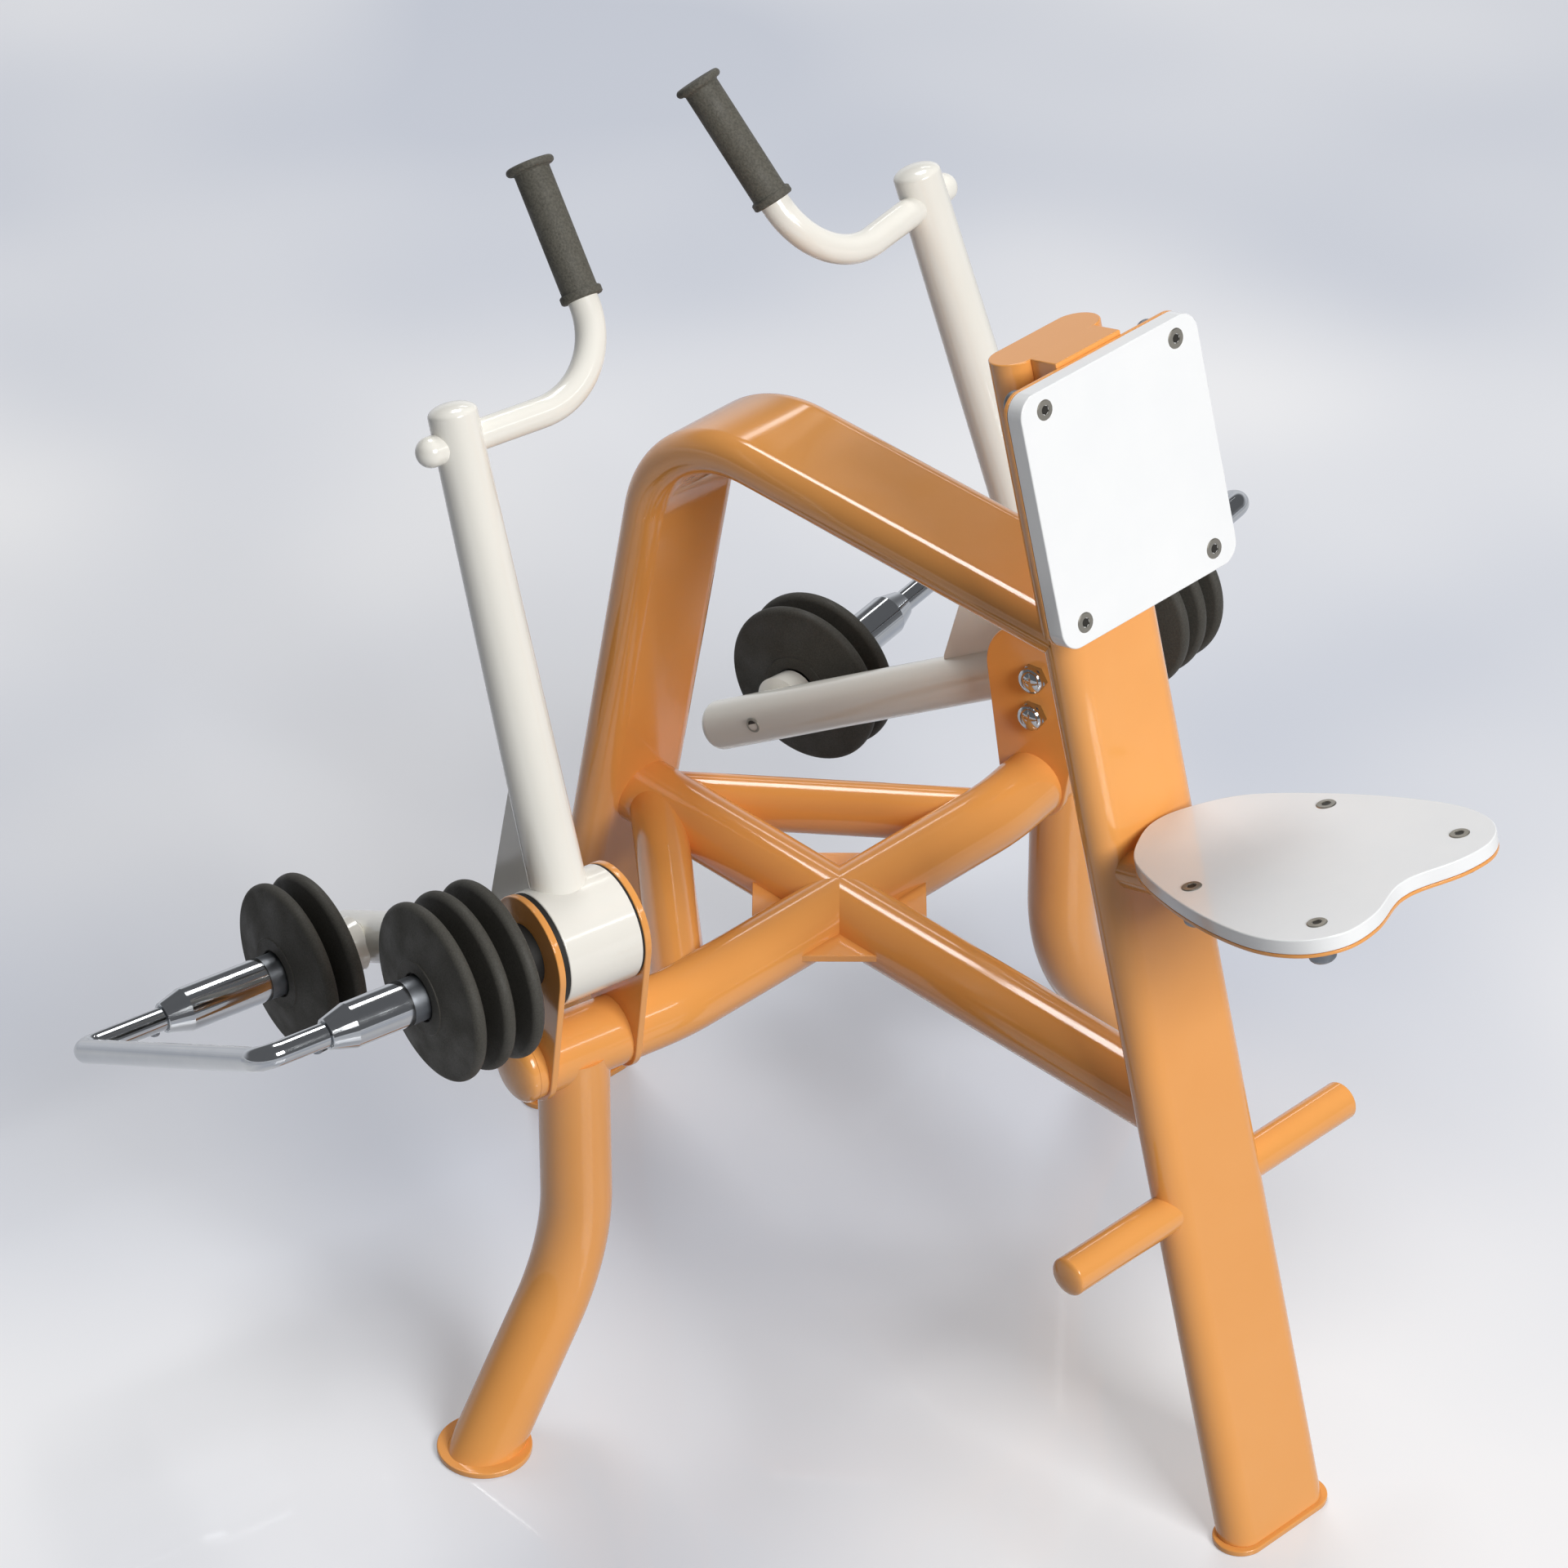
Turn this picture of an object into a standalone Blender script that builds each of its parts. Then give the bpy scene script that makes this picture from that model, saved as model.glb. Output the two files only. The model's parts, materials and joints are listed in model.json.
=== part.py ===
"""Outdoor rowing machine with a chest pad, a saddle seat and two swing levers with sliding discs.

The machine faces +Y, so the user sits behind the post and pulls both grips back to the chest. The
origin lies on the ground in the middle of the machine's outline, and X = 0 is its mirror plane.
Each lever turns on an axle that is toed out, and its frame of reference has X along that axle,
Y forwards and Z up. Heights along the post are measured up its leaning axis from the ground.
"""

import math

import bmesh
import bpy
from mathutils import Matrix, Vector

# Fits
gap = 0.0003
running_gap = 0.0005
overrun = 0.030
weld_distance = 0.00001

# Flat oval tube of the post, the arch and the seat bracket
oval_width = 0.138
oval_depth = 0.050
oval_wall = 0.003

# Round tubes of the base
main_tube_radius = 0.03805
main_tube_wall = 0.0036
brace_radius = 0.03015
brace_wall = 0.0032
cope_start = 0.006

# Ground plan, along Y from the cross tube
cross_tube_y = 0.1359
post_foot_back = 0.6425
arch_foot_ahead = 0.4205

# Post and its foot plate
post_lean = math.radians(15.7)
post_length = 1.347
foot_plate_width = 0.152
foot_plate_depth = 0.058
foot_plate_thickness = 0.007

# Arch
arch_lean = math.radians(11.5)
arch_beam_height = 1.005
arch_bend_radius = 0.160

# Base tubes
base_tube_height = 0.461
cross_tube_straight = 0.244
cross_tube_bend_radius = 0.300
toe_angle = math.radians(10.5)
cross_tube_end = 0.062
cross_cap_rise = 0.015
cross_cap_rim = 0.004
brace_angle = math.radians(50.3)
brace_foot_x = 0.2341
brace_end_back = 0.0145
web_reach = 0.0933
web_thickness = 0.008

# Legs
leg_out = 0.0016
leg_back = 0.0035
leg_knee_height = 0.200
leg_splay = math.radians(35)
leg_bend_radius = 0.250
leg_foot_radius = 0.051

# Pivot brackets, along the axle from the pivot
pivot_out = 0.1272
pivot_rise = 0.1406
bracket_thickness = 0.008
bracket_top_radius = 0.063
bracket_bottom_radius = 0.042

# Lever hub with its arc slot
hub_radius = 0.0625
hub_outer_end = 0.0383
hub_inner_end = -0.0497
hub_flange = 0.009
hub_wall = 0.006
hub_sleeve_radius = 0.021
hub_edge = 0.0015
inner_washer_thickness = 0.0016
outer_washer_thickness = 0.0055
washer_radius = 0.0618
stop_pin_radius = 0.006
stop_pin_drop = 0.0485
lever_travel = math.radians(50)

# Axle
axle_radius = 0.012
shaft_radius = 0.0245
shaft_edge = 0.0012
axle_collar_radius = 0.034
axle_spigot = 0.056
dome_nut_radius = 0.0168
dome_nut_skirt = 0.004
dome_nut_rise = 0.013
pin_head_radius = 0.010
pin_head_height = 0.004

# Discs
disc_radius = 0.0968
disc_rim_thickness = 0.0152
disc_rim_round = 0.0068
disc_hub_thickness = 0.0343
disc_hub_radius = 0.041
disc_face_rise = 0.0079
rear_disc_seat = 0.0796
front_disc_seat = 0.0570
rear_disc_names = ("inner", "middle", "outer")
front_disc_names = ("inner", "outer")

# Lever tube
lever_lean = math.radians(20.7)
lever_above_handle = 0.0305
lever_base_radius = 0.0300
lever_top_radius = 0.0258
lever_wall = 0.003
lever_root = 0.015
lever_cap_rise = 0.011

# Arm and the front shaft on it
arm_drop = math.radians(30.5)
arm_radius = 0.0285
arm_wall = 0.0035
arm_below_pivot = 0.009
arm_length = 0.553
arm_cap_rise = 0.018
load_before_tip = 0.0911
load_drop = math.radians(31.26)
arm_sleeve_radius = 0.018
boss_base_radius = 0.031
boss_top_radius = 0.026
front_shaft_end = 0.240
front_spigot_radius = 0.0085
front_screw_recess = 0.005

# Gusset between the arm and the lever tube
gusset_thickness = 0.008
gusset_arm_reach = 0.155
gusset_high_reach = 0.106
gusset_high_rise = 0.129

# Bar that joins the two shafts at their outer ends
nose_end = 0.266
nose_cone = 0.027
nose_tip_radius = 0.017
load_bar_radius = 0.013
load_bar_out = 0.369
load_bar_bend_radius = 0.022

# Handle and grip
handle_height = 0.5375
handle_radius = 0.0162
handle_outer_end = 0.033
handle_inner_reach = 0.1896
handle_bend_radius = 0.092
handle_rise = math.radians(41.2)
handle_length = 0.241
grip_start = 0.099
grip_radius = 0.0192
grip_collar_radius = 0.0225
grip_collar_length = 0.007
grip_flange_radius = 0.026
grip_flange_thickness = 0.006
grip_top_wall = 0.003

# Foot bar through the post
foot_bar_height = 0.398
foot_bar_radius = 0.0212
foot_bar_half_length = 0.206
foot_bar_cap_rise = 0.007

# Chest pad: below the post's top to the middle of its four screws, then across and up from there
pad_below_top = 0.138
pad_half_width = 0.1248
pad_top = 0.1335
pad_bottom = 0.1355
pad_corner_radius = 0.022
pad_thickness = 0.020
pad_face_back = 0.0852
pad_edge = 0.0015
support_plate_thickness = 0.0045
pad_spacer_width = 0.091
pad_spacer_length = 0.240

# Seat, back from the post axis and up to the seat board's top
seat_height = 0.828
seat_front_back = 0.0304
seat_length = 0.3607
seat_half_width = 0.1531
seat_thickness = 0.0155
seat_edge = 0.0015
seat_plate_thickness = 0.0035
seat_bracket_width = 0.119
seat_bracket_depth = 0.040
seat_bracket_length = 0.230
seat_notch_share = 0.93
seat_outline_shares = (
    (0.255, 0.035),
    (0.540, 0.135),
    (0.777, 0.345),
    (0.943, 0.577),
    (1.000, 0.775),
    (0.910, 0.915),
    (0.700, 0.988),
    (0.420, 0.988),
    (0.130, 0.940),
)

# Facets
tube_sides = 14
drum_sides = 20
bar_sides = 10
grip_sides = 14
hole_sides = 10
disc_sides = 20
round_steps = 6
bend_step = math.radians(11)
bar_bend_step = math.radians(24)
cap_steps = 3
outline_steps = 3
smooth_angle = math.radians(32)
sharp_angle = math.radians(50)
right_angle = math.radians(90)

# Colours
orange = (0.93, 0.39, 0.08)
white = (0.90, 0.89, 0.86)
board_white = (0.92, 0.92, 0.92)
black = (0.035, 0.034, 0.030)
steel = (0.75, 0.76, 0.78)


def clear_scene():
    """Remove whatever objects the file opened with."""
    for item in list(bpy.data.objects):
        bpy.data.objects.remove(item)


def make_collection(name):
    """Add a collection to the scene."""
    collection = bpy.data.collections.new(name)
    bpy.context.scene.collection.children.link(collection)
    return collection


def make_finish(name, colour, roughness, metallic):
    """Make a plain surface finish."""
    finish = bpy.data.materials.new(name)
    finish.use_nodes = True
    shader = finish.node_tree.nodes["Principled BSDF"]
    shader.inputs["Base Color"].default_value = (*colour, 1)
    shader.inputs["Roughness"].default_value = roughness
    shader.inputs["Metallic"].default_value = metallic
    return finish


clear_scene()
machine = make_collection("rowing_machine")
cutters = make_collection("cutters")
orange_paint = make_finish("orange_paint", orange, 0.35, 0)
white_paint = make_finish("white_paint", white, 0.30, 0)
board_plastic = make_finish("board_plastic", board_white, 0.50, 0)
rubber = make_finish("rubber", black, 0.70, 0)
washer_plastic = make_finish("washer_plastic", black, 0.50, 0)
chrome = make_finish("chrome", steel, 0.12, 1)

# Directions: a flat outline turned to stand across the axle, and one laid out along the axle
across_axle = Matrix(((0, 0, 1, 0), (1, 0, 0, 0), (0, 1, 0, 0), (0, 0, 0, 1)))


def leaning(angle):
    """A turn that leans the local Z axis forwards by an angle."""
    return Matrix.Rotation(-angle, 4, "X")


def outwards(side):
    """A turn that lays the local Z axis along the axle, away from the machine's middle."""
    return Matrix.Rotation(side * right_angle, 4, "Y")


def make_empty(name, place):
    """An empty that carries one group of pieces."""
    empty = bpy.data.objects.new(name, None)
    empty.matrix_world = place
    machine.objects.link(empty)
    return empty


def put(item, place, parent, finish):
    """Place an object under its parent, among the pieces if it has a finish, else the cutters."""
    item.parent = parent
    item.matrix_basis = place
    if finish is None:
        cutters.objects.link(item)
        item.hide_render = True
        item.display_type = "WIRE"
    else:
        machine.objects.link(item)
        item.data.materials.append(finish)
    return item


def mesh_of(curve_object):
    """Turn a curve object into a mesh object with welded caps, in the same place."""
    bpy.context.view_layer.update()
    evaluated = curve_object.evaluated_get(bpy.context.evaluated_depsgraph_get())
    mesh = bpy.data.meshes.new_from_object(evaluated)
    shape = bmesh.new()
    shape.from_mesh(mesh)
    bmesh.ops.remove_doubles(shape, verts=shape.verts, dist=weld_distance)
    bmesh.ops.recalc_face_normals(shape, faces=shape.faces)
    shape.to_mesh(mesh)
    shape.free()
    mesh.shade_smooth()
    mesh.set_sharp_from_angle(angle=smooth_angle)
    name = curve_object.name
    solid = bpy.data.objects.new("mesh", mesh)
    solid.parent = curve_object.parent
    solid.matrix_basis = curve_object.matrix_basis.copy()
    for collection in curve_object.users_collection:
        collection.objects.link(solid)
    solid.hide_render = curve_object.hide_render
    solid.display_type = curve_object.display_type
    bpy.data.objects.remove(curve_object)
    solid.name = name
    return solid


def add_spline(curve, points, cyclic, radii=None):
    """Add one run of straight segments to a curve."""
    spline = curve.splines.new("POLY")
    spline.points.add(len(points) - 1)
    for index, point in enumerate(points):
        spline.points[index].co = (*point, 1)
        if radii:
            spline.points[index].radius = radii[index]
    spline.use_cyclic_u = cyclic
    spline.use_smooth = True


def flat_solid(name, outlines, thickness, place, parent, finish):
    """A flat piece, centred on its outline's plane: the first outline is its edge, the rest holes."""
    curve = bpy.data.curves.new(name, "CURVE")
    curve.dimensions = "2D"
    curve.fill_mode = "BOTH"
    curve.extrude = thickness / 2
    for outline in outlines:
        add_spline(curve, [(x, y, 0) for x, y in outline], True)
    return mesh_of(put(bpy.data.objects.new(name, curve), place, parent, finish))


def rod(name, points, radius, place, parent, finish, sides=tube_sides, radii=None, capped=True):
    """A round rod along a path, or a bare skin where it isn't capped."""
    curve = bpy.data.curves.new(name, "CURVE")
    curve.dimensions = "3D"
    curve.bevel_depth = radius
    curve.bevel_resolution = (sides - 4) // 2
    curve.use_fill_caps = capped
    add_spline(curve, points, False, radii)
    return mesh_of(put(bpy.data.objects.new(name, curve), place, parent, finish))


def tube(name, points, radius, wall, place, parent, finish):
    """A round tube along a path, open at both ends."""
    skin = rod(name, points, radius, place, parent, finish, capped=False)
    add_wall(skin, wall)
    return skin


def oval_rod(name, points, growth, finish, capped=True):
    """The flat oval section swept along a path in the machine's mirror plane."""
    section = bpy.data.curves.new(name + "_section", "CURVE")
    section.dimensions = "2D"
    outline = oval_outline(oval_width + 2 * growth, oval_depth + 2 * growth)
    add_spline(section, [(x, y, 0) for x, y in outline], True)
    section_object = put(bpy.data.objects.new(name + "_section", section), Matrix(), None, None)
    curve = bpy.data.curves.new(name, "CURVE")
    curve.dimensions = "3D"
    curve.twist_mode = "MINIMUM"
    curve.bevel_mode = "OBJECT"
    curve.bevel_object = section_object
    curve.use_fill_caps = capped
    add_spline(curve, points, False)
    return mesh_of(put(bpy.data.objects.new(name, curve), Matrix(), None, finish))


def turned(name, profile, place, parent, finish, sides=tube_sides):
    """A piece turned about its local Z: radius and height from its top down its outer side."""
    mesh = bpy.data.meshes.new(name)
    count = len(profile)
    edges = [(index, index + 1) for index in range(count - 1)]
    if profile[0][0] > 0:
        edges.append((count - 1, 0))
    mesh.from_pydata([(radius, 0, height) for radius, height in profile], edges, [])
    item = put(bpy.data.objects.new(name, mesh), place, parent, finish)
    screw = item.modifiers.new("turn", "SCREW")
    screw.steps = sides
    screw.render_steps = sides
    screw.use_merge_vertices = True
    screw.merge_threshold = weld_distance
    screw.use_smooth_shade = True
    return item


def bore_tool(name, radius, clearance, half_length, place, parent, sides):
    """A straight round cutter along the local Z whose hole clears a round piece."""
    corner = around(radius, clearance, sides)
    profile = [(0, half_length), (corner, half_length), (corner, -half_length), (0, -half_length)]
    return turned(name, profile, place, parent, None, sides)


def add_wall(item, wall):
    """Give an open skin a wall on its inner side."""
    solidify = item.modifiers.new("wall", "SOLIDIFY")
    solidify.thickness = wall
    solidify.offset = -1
    solidify.use_even_offset = True


def cut(item, *tools):
    """Cut each tool out of a piece, then merge the doubled corners that the cuts leave."""
    for tool in tools:
        boolean = item.modifiers.new("cut", "BOOLEAN")
        boolean.operation = "DIFFERENCE"
        boolean.solver = "EXACT"
        boolean.object = tool
    merge = item.modifiers.new("merge", "WELD")
    merge.merge_threshold = weld_distance


def join(item, *tools):
    """Weld each tool to a piece."""
    for tool in tools:
        boolean = item.modifiers.new("weld", "BOOLEAN")
        boolean.operation = "UNION"
        boolean.solver = "EXACT"
        boolean.object = tool


def round_edges(item, width, segments=2):
    """Round a piece's sharp edges."""
    bevel = item.modifiers.new("edges", "BEVEL")
    bevel.width = width
    bevel.segments = segments
    bevel.limit_method = "ANGLE"
    bevel.angle_limit = sharp_angle


def turns_of(count):
    """Equal turns round a circle."""
    return [2 * math.pi * index / count for index in range(count)]


def arc(centre, radius, start, end, steps):
    """Points along an arc, both ends included."""
    points = []
    for index in range(steps + 1):
        turn = start + (end - start) * index / steps
        points.append((centre[0] + radius * math.cos(turn), centre[1] + radius * math.sin(turn)))
    return points


def circle(centre, radius, sides):
    """Points round a circle."""
    return [(centre[0] + radius * math.cos(turn), centre[1] + radius * math.sin(turn))
            for turn in turns_of(sides)]


def around(radius, clearance, sides):
    """The corner radius of a faceted bore whose flats clear a round piece."""
    return (radius + clearance) / math.cos(math.pi / sides)


def hole(centre, radius, clearance=gap, sides=hole_sides):
    """Points round a hole that clears a round piece."""
    return circle(centre, around(radius, clearance, sides), sides)


def oval_outline(width, depth):
    """A flat oval: straight sides along X with half-round ends."""
    radius = depth / 2
    centre = width / 2 - radius
    quarter = math.pi / 2
    right = arc((centre, 0), radius, -quarter, quarter, round_steps)
    left = arc((-centre, 0), radius, quarter, 3 * quarter, round_steps)
    return right + left


def belt_outline(top_radius, bottom_radius, drop):
    """Two circles, the lower one straight below, joined by their outer tangents."""
    lean = math.asin((top_radius - bottom_radius) / drop)
    top = arc((0, 0), top_radius, -lean, math.pi + lean, 2 * round_steps)
    bottom = arc((0, -drop), bottom_radius, math.pi + lean, 2 * math.pi - lean, round_steps + 1)
    return top + bottom


def rounded_rectangle(left, right, low, high, radius):
    """A rectangle with round corners."""
    quarter = math.pi / 2
    corners = ((right, high), (left, high), (left, low), (right, low))
    points = []
    for index, (x, y) in enumerate(corners):
        inner_x = x - math.copysign(radius, x)
        inner_y = y - math.copysign(radius, y)
        points += arc((inner_x, inner_y), radius, index * quarter, (index + 1) * quarter, cap_steps + 1)
    return points


def smooth_outline(points, steps):
    """A smooth closed line through points, as Catmull-Rom runs."""
    count = len(points)
    line = []
    for index in range(count):
        before, start, end, after = (Vector(points[(index + shift) % count]) for shift in (-1, 0, 1, 2))
        for step in range(steps):
            share = step / steps
            bend = 2 * before - 5 * start + 4 * end - after
            twist = 3 * start - before - 3 * end + after
            spot = start + (end - before) * share / 2 + bend * share ** 2 / 2 + twist * share ** 3 / 2
            line.append((spot.x, spot.y))
    return line


def bent_path(corners, radii, step):
    """Straight runs joined by arcs, with one bend radius for each inner corner."""
    corners = [Vector(corner) for corner in corners]
    path = [corners[0]]
    for before, corner, after, radius in zip(corners, corners[1:], corners[2:], radii):
        incoming = (corner - before).normalized()
        outgoing = (after - corner).normalized()
        turn = incoming.angle(outgoing)
        axis = incoming.cross(outgoing).normalized()
        inward = axis.cross(incoming)
        centre = corner - incoming * radius * math.tan(turn / 2) + inward * radius
        steps = max(2, round(turn / step))
        for index in range(steps + 1):
            path.append(centre - Matrix.Rotation(turn * index / steps, 3, axis) @ inward * radius)
    path.append(corners[-1])
    return path


def domed_cap(radius, rise, base, steps=cap_steps):
    """Profile points of a domed end, from its tip on the axis down to its rim."""
    points = [(0, base + rise)]
    for index in range(1, steps + 1):
        turn = math.pi / 2 * index / steps
        points.append((radius * math.sin(turn), base + rise * math.cos(turn)))
    return points


# Places that follow from the sizes
lever_length = handle_height + lever_above_handle
load_reach = arm_length - load_before_tip
pad_height = post_length - pad_below_top

# Pieces on the post's axis and on the pivots hang on empties
post_foot_y = cross_tube_y - post_foot_back
arch_foot_y = cross_tube_y + arch_foot_ahead
post_axis = make_empty("post_axis", Matrix.Translation((0, post_foot_y, 0)) @ leaning(post_lean))
sides = {"right": 1, "left": -1}
ground = Matrix()


def post_y(height):
    """Where the post's axis lies at a height above the ground."""
    return post_foot_y + height * math.tan(post_lean)


def arch_y(height):
    """Where the arch leg's axis lies at a height above the ground."""
    return arch_foot_y - height * math.tan(arch_lean)


def toed_point(side, out):
    """A point on the cross tube's toed end, measured outwards from below the pivot."""
    reach = pivot_out + out
    x = cross_tube_straight + reach * math.cos(toe_angle)
    return Vector((side * x, cross_tube_y + reach * math.sin(toe_angle), base_tube_height))


def toed_place(side, out, height):
    """A place on the pivot's line, turned to the toed axle."""
    point = toed_point(side, out)
    return Matrix.Translation((point.x, point.y, height)) @ Matrix.Rotation(side * toe_angle, 4, "Z")


def ground_cutter():
    """A slab below the tops of the foot plates, which trims the tubes' lower ends."""
    span = 2 * (post_foot_back + arch_foot_ahead)
    outline = [(-span, -span), (span, -span), (span, span), (-span, span)]
    thickness = 2 * post_foot_back
    place = Matrix.Translation((0, 0, foot_plate_thickness + gap - thickness / 2))
    return flat_solid("ground_cutter", [outline], thickness, place, None, None)


def post_envelope():
    """The post's outside with a gap round it, which trims what meets the post."""
    outline = oval_outline(oval_width + 2 * gap, oval_depth + 2 * gap)
    middle = Matrix.Translation((0, 0, post_length / 2))
    return flat_solid("post_envelope", [outline], post_length, middle, post_axis, None)


def foot_bar_envelope():
    """The foot bar's outside with a gap round it."""
    place = Matrix.Translation((0, 0, foot_bar_height)) @ outwards(1)
    return bore_tool("foot_bar_envelope", foot_bar_radius, gap, oval_width, place, post_axis, tube_sides)


def arch_path(end_shift):
    """The arch's axis from below the ground, up the leg and back along the beam into the post."""
    corner = (0, arch_y(arch_beam_height), arch_beam_height)
    low = (0, arch_y(-overrun), -overrun)
    end = (0, post_y(arch_beam_height) + end_shift, arch_beam_height)
    return bent_path([low, corner, end], [arch_bend_radius], bend_step)


def cross_tube_path(extra):
    """The cross tube's axis from one toed end to the other."""
    left = toed_point(-1, cross_tube_end + extra)
    right = toed_point(1, cross_tube_end + extra)
    left_bend = (-cross_tube_straight, cross_tube_y, base_tube_height)
    right_bend = (cross_tube_straight, cross_tube_y, base_tube_height)
    radii = [cross_tube_bend_radius, cross_tube_bend_radius]
    return bent_path([left, left_bend, right_bend, right], radii, bend_step / 2)


ground_trim = ground_cutter()
post_trim = post_envelope()
foot_bar_trim = foot_bar_envelope()
arch_trim = oval_rod("arch_envelope", arch_path(0), gap, None)
cross_trim = rod("cross_tube_envelope", cross_tube_path(cross_cap_rise + overrun),
                 main_tube_radius + gap, ground, None, None)


def make_post():
    """The leaning post: a flat oval tube with a closed top, trimmed level at its foot plate."""
    outline = oval_outline(oval_width, oval_depth)
    length = post_length + overrun
    place = Matrix.Translation((0, 0, post_length - length / 2))
    post = flat_solid("main_post", [outline], length, place, post_axis, orange_paint)
    bore_outline = oval_outline(oval_width - 2 * oval_wall, oval_depth - 2 * oval_wall)
    bore_place = Matrix.Translation((0, 0, post_length - oval_wall - length / 2))
    bore = flat_solid("post_bore", [bore_outline], length, bore_place, post_axis, None)
    cut(post, foot_bar_trim, bore, ground_trim)


def make_foot_plate(name, y):
    """A flat oval foot plate flat on the ground."""
    outline = oval_outline(foot_plate_width, foot_plate_depth)
    place = Matrix.Translation((0, y, foot_plate_thickness / 2))
    flat_solid(name, [outline], foot_plate_thickness, place, None, orange_paint)


def make_arch():
    """The arch: one flat oval tube bent over from its foot to the post."""
    arch = oval_rod("arch_tube", arch_path(0), 0, orange_paint, capped=False)
    add_wall(arch, oval_wall)
    cut(arch, ground_trim, post_trim)


def make_cross_tube():
    """The cross tube with toed ends, and its domed end caps."""
    tube("cross_tube", cross_tube_path(0), main_tube_radius, main_tube_wall, ground, None, orange_paint)
    for side_name, side in sides.items():
        base = cross_tube_end + gap
        profile = domed_cap(main_tube_radius, cross_cap_rise, base + cross_cap_rim) + [
            (main_tube_radius, base), (0, base)]
        place = toed_place(side, 0, base_tube_height) @ outwards(side)
        turned("cross_tube_cap_" + side_name, profile, place, None, orange_paint)


def make_spine(name, start, end, end_trim, webs_towards):
    """A length of the spine from the cross tube, with a flat web welded in each corner."""
    points = [(0, start, base_tube_height), (0, end, base_tube_height)]
    spine = tube(name, points, main_tube_radius, main_tube_wall, ground, None, orange_paint)
    for side_name, side in sides.items():
        inner = main_tube_radius - main_tube_wall / 2
        near = cross_tube_y + webs_towards * inner
        far = cross_tube_y + webs_towards * web_reach
        outline = [(side * inner, near), (side * web_reach, near), (side * inner, far)]
        place = Matrix.Translation((0, 0, base_tube_height))
        web = flat_solid(name + "_web_" + side_name, [outline], web_thickness, place, None, None)
        join(spine, web)
    cut(spine, cross_trim, end_trim)


def make_braces():
    """Two braces from the front of the spine out to the cross tube."""
    spine_points = [(0, cross_tube_y, base_tube_height), (0, arch_y(base_tube_height), base_tube_height)]
    spine_trim = rod("spine_envelope", spine_points, main_tube_radius + gap, ground, None, None)
    for side_name, side in sides.items():
        ahead = brace_foot_x * math.tan(brace_angle)
        start = Vector((side * brace_foot_x, cross_tube_y, base_tube_height))
        end = Vector((0, cross_tube_y + ahead, base_tube_height))
        end = end + (start - end).normalized() * brace_end_back
        brace = tube("brace_" + side_name, [start, end], brace_radius, brace_wall, ground, None,
                     orange_paint)
        cut(brace, spine_trim, cross_trim)


def make_legs():
    """Two splayed legs under the cross tube's toed ends, each on a round foot plate."""
    for side_name, side in sides.items():
        top = toed_point(side, leg_out) - Vector((0, leg_back, 0))
        knee = Vector((top.x, top.y, leg_knee_height))
        foot = knee + Vector((side * math.tan(leg_splay) * leg_knee_height, 0, -leg_knee_height))
        past = foot + (foot - knee).normalized() * overrun
        start = top - Vector((0, 0, cope_start))
        path = bent_path([start, knee, past], [leg_bend_radius], bend_step)
        leg = tube("leg_" + side_name, path, main_tube_radius, main_tube_wall, ground, None, orange_paint)
        cut(leg, cross_trim, ground_trim)
        place = Matrix.Translation((foot.x, foot.y, foot_plate_thickness / 2))
        flat_solid("leg_foot_plate_" + side_name, [circle((0, 0), leg_foot_radius, drum_sides)],
                   foot_plate_thickness, place, None, orange_paint)


# Faces along the axle, outwards from the pivot
outer_washer_in = hub_outer_end + gap
outer_bracket_in = outer_washer_in + outer_washer_thickness + gap
outer_bracket_out = outer_bracket_in + bracket_thickness
inner_washer_out = hub_inner_end - gap
inner_bracket_out = inner_washer_out - inner_washer_thickness - gap
inner_bracket_in = inner_bracket_out - bracket_thickness
rear_discs_end = rear_disc_seat + len(rear_disc_names) * (disc_hub_thickness + gap)


def make_brackets(side_name, side, pivot):
    """Two plates that carry the axle and stand on the cross tube, which runs through them."""
    outlines = [
        belt_outline(bracket_top_radius, bracket_bottom_radius, pivot_rise),
        hole((0, 0), axle_radius),
        hole((0, -stop_pin_drop), stop_pin_radius),
        hole((0, -pivot_rise), main_tube_radius, sides=drum_sides),
    ]
    middles = {
        "inner": (inner_bracket_in + inner_bracket_out) / 2,
        "outer": (outer_bracket_in + outer_bracket_out) / 2,
    }
    for name, middle in middles.items():
        place = Matrix.Translation((side * middle, 0, 0)) @ across_axle
        flat_solid("bracket_" + name + "_" + side_name, outlines, bracket_thickness, place, pivot,
                   orange_paint)


def make_washers(side_name, side, pivot):
    """A thin inner and a thick outer plastic washer by the hub, held by the axle and the stop pin."""
    outlines = [
        circle((0, 0), washer_radius, drum_sides),
        hole((0, 0), axle_radius),
        hole((0, -stop_pin_drop), stop_pin_radius),
    ]
    washers = (
        ("inner", inner_washer_out - inner_washer_thickness / 2, inner_washer_thickness),
        ("outer", outer_washer_in + outer_washer_thickness / 2, outer_washer_thickness),
    )
    for name, middle, thickness in washers:
        place = Matrix.Translation((side * middle, 0, 0)) @ across_axle
        flat_solid("hub_washer_" + name + "_" + side_name, outlines, thickness, place, pivot,
                   washer_plastic)


def dome_nut(shank_radius):
    """Profile points of the domed nut on the inner bracket, from its seat on the shank to its tip."""
    seat = inner_bracket_in - gap
    dome = domed_cap(dome_nut_radius, dome_nut_rise, 0)
    points = [(radius, seat - dome_nut_skirt - height) for radius, height in reversed(dome)]
    return [(shank_radius, seat), (dome_nut_radius, seat)] + points


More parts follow.
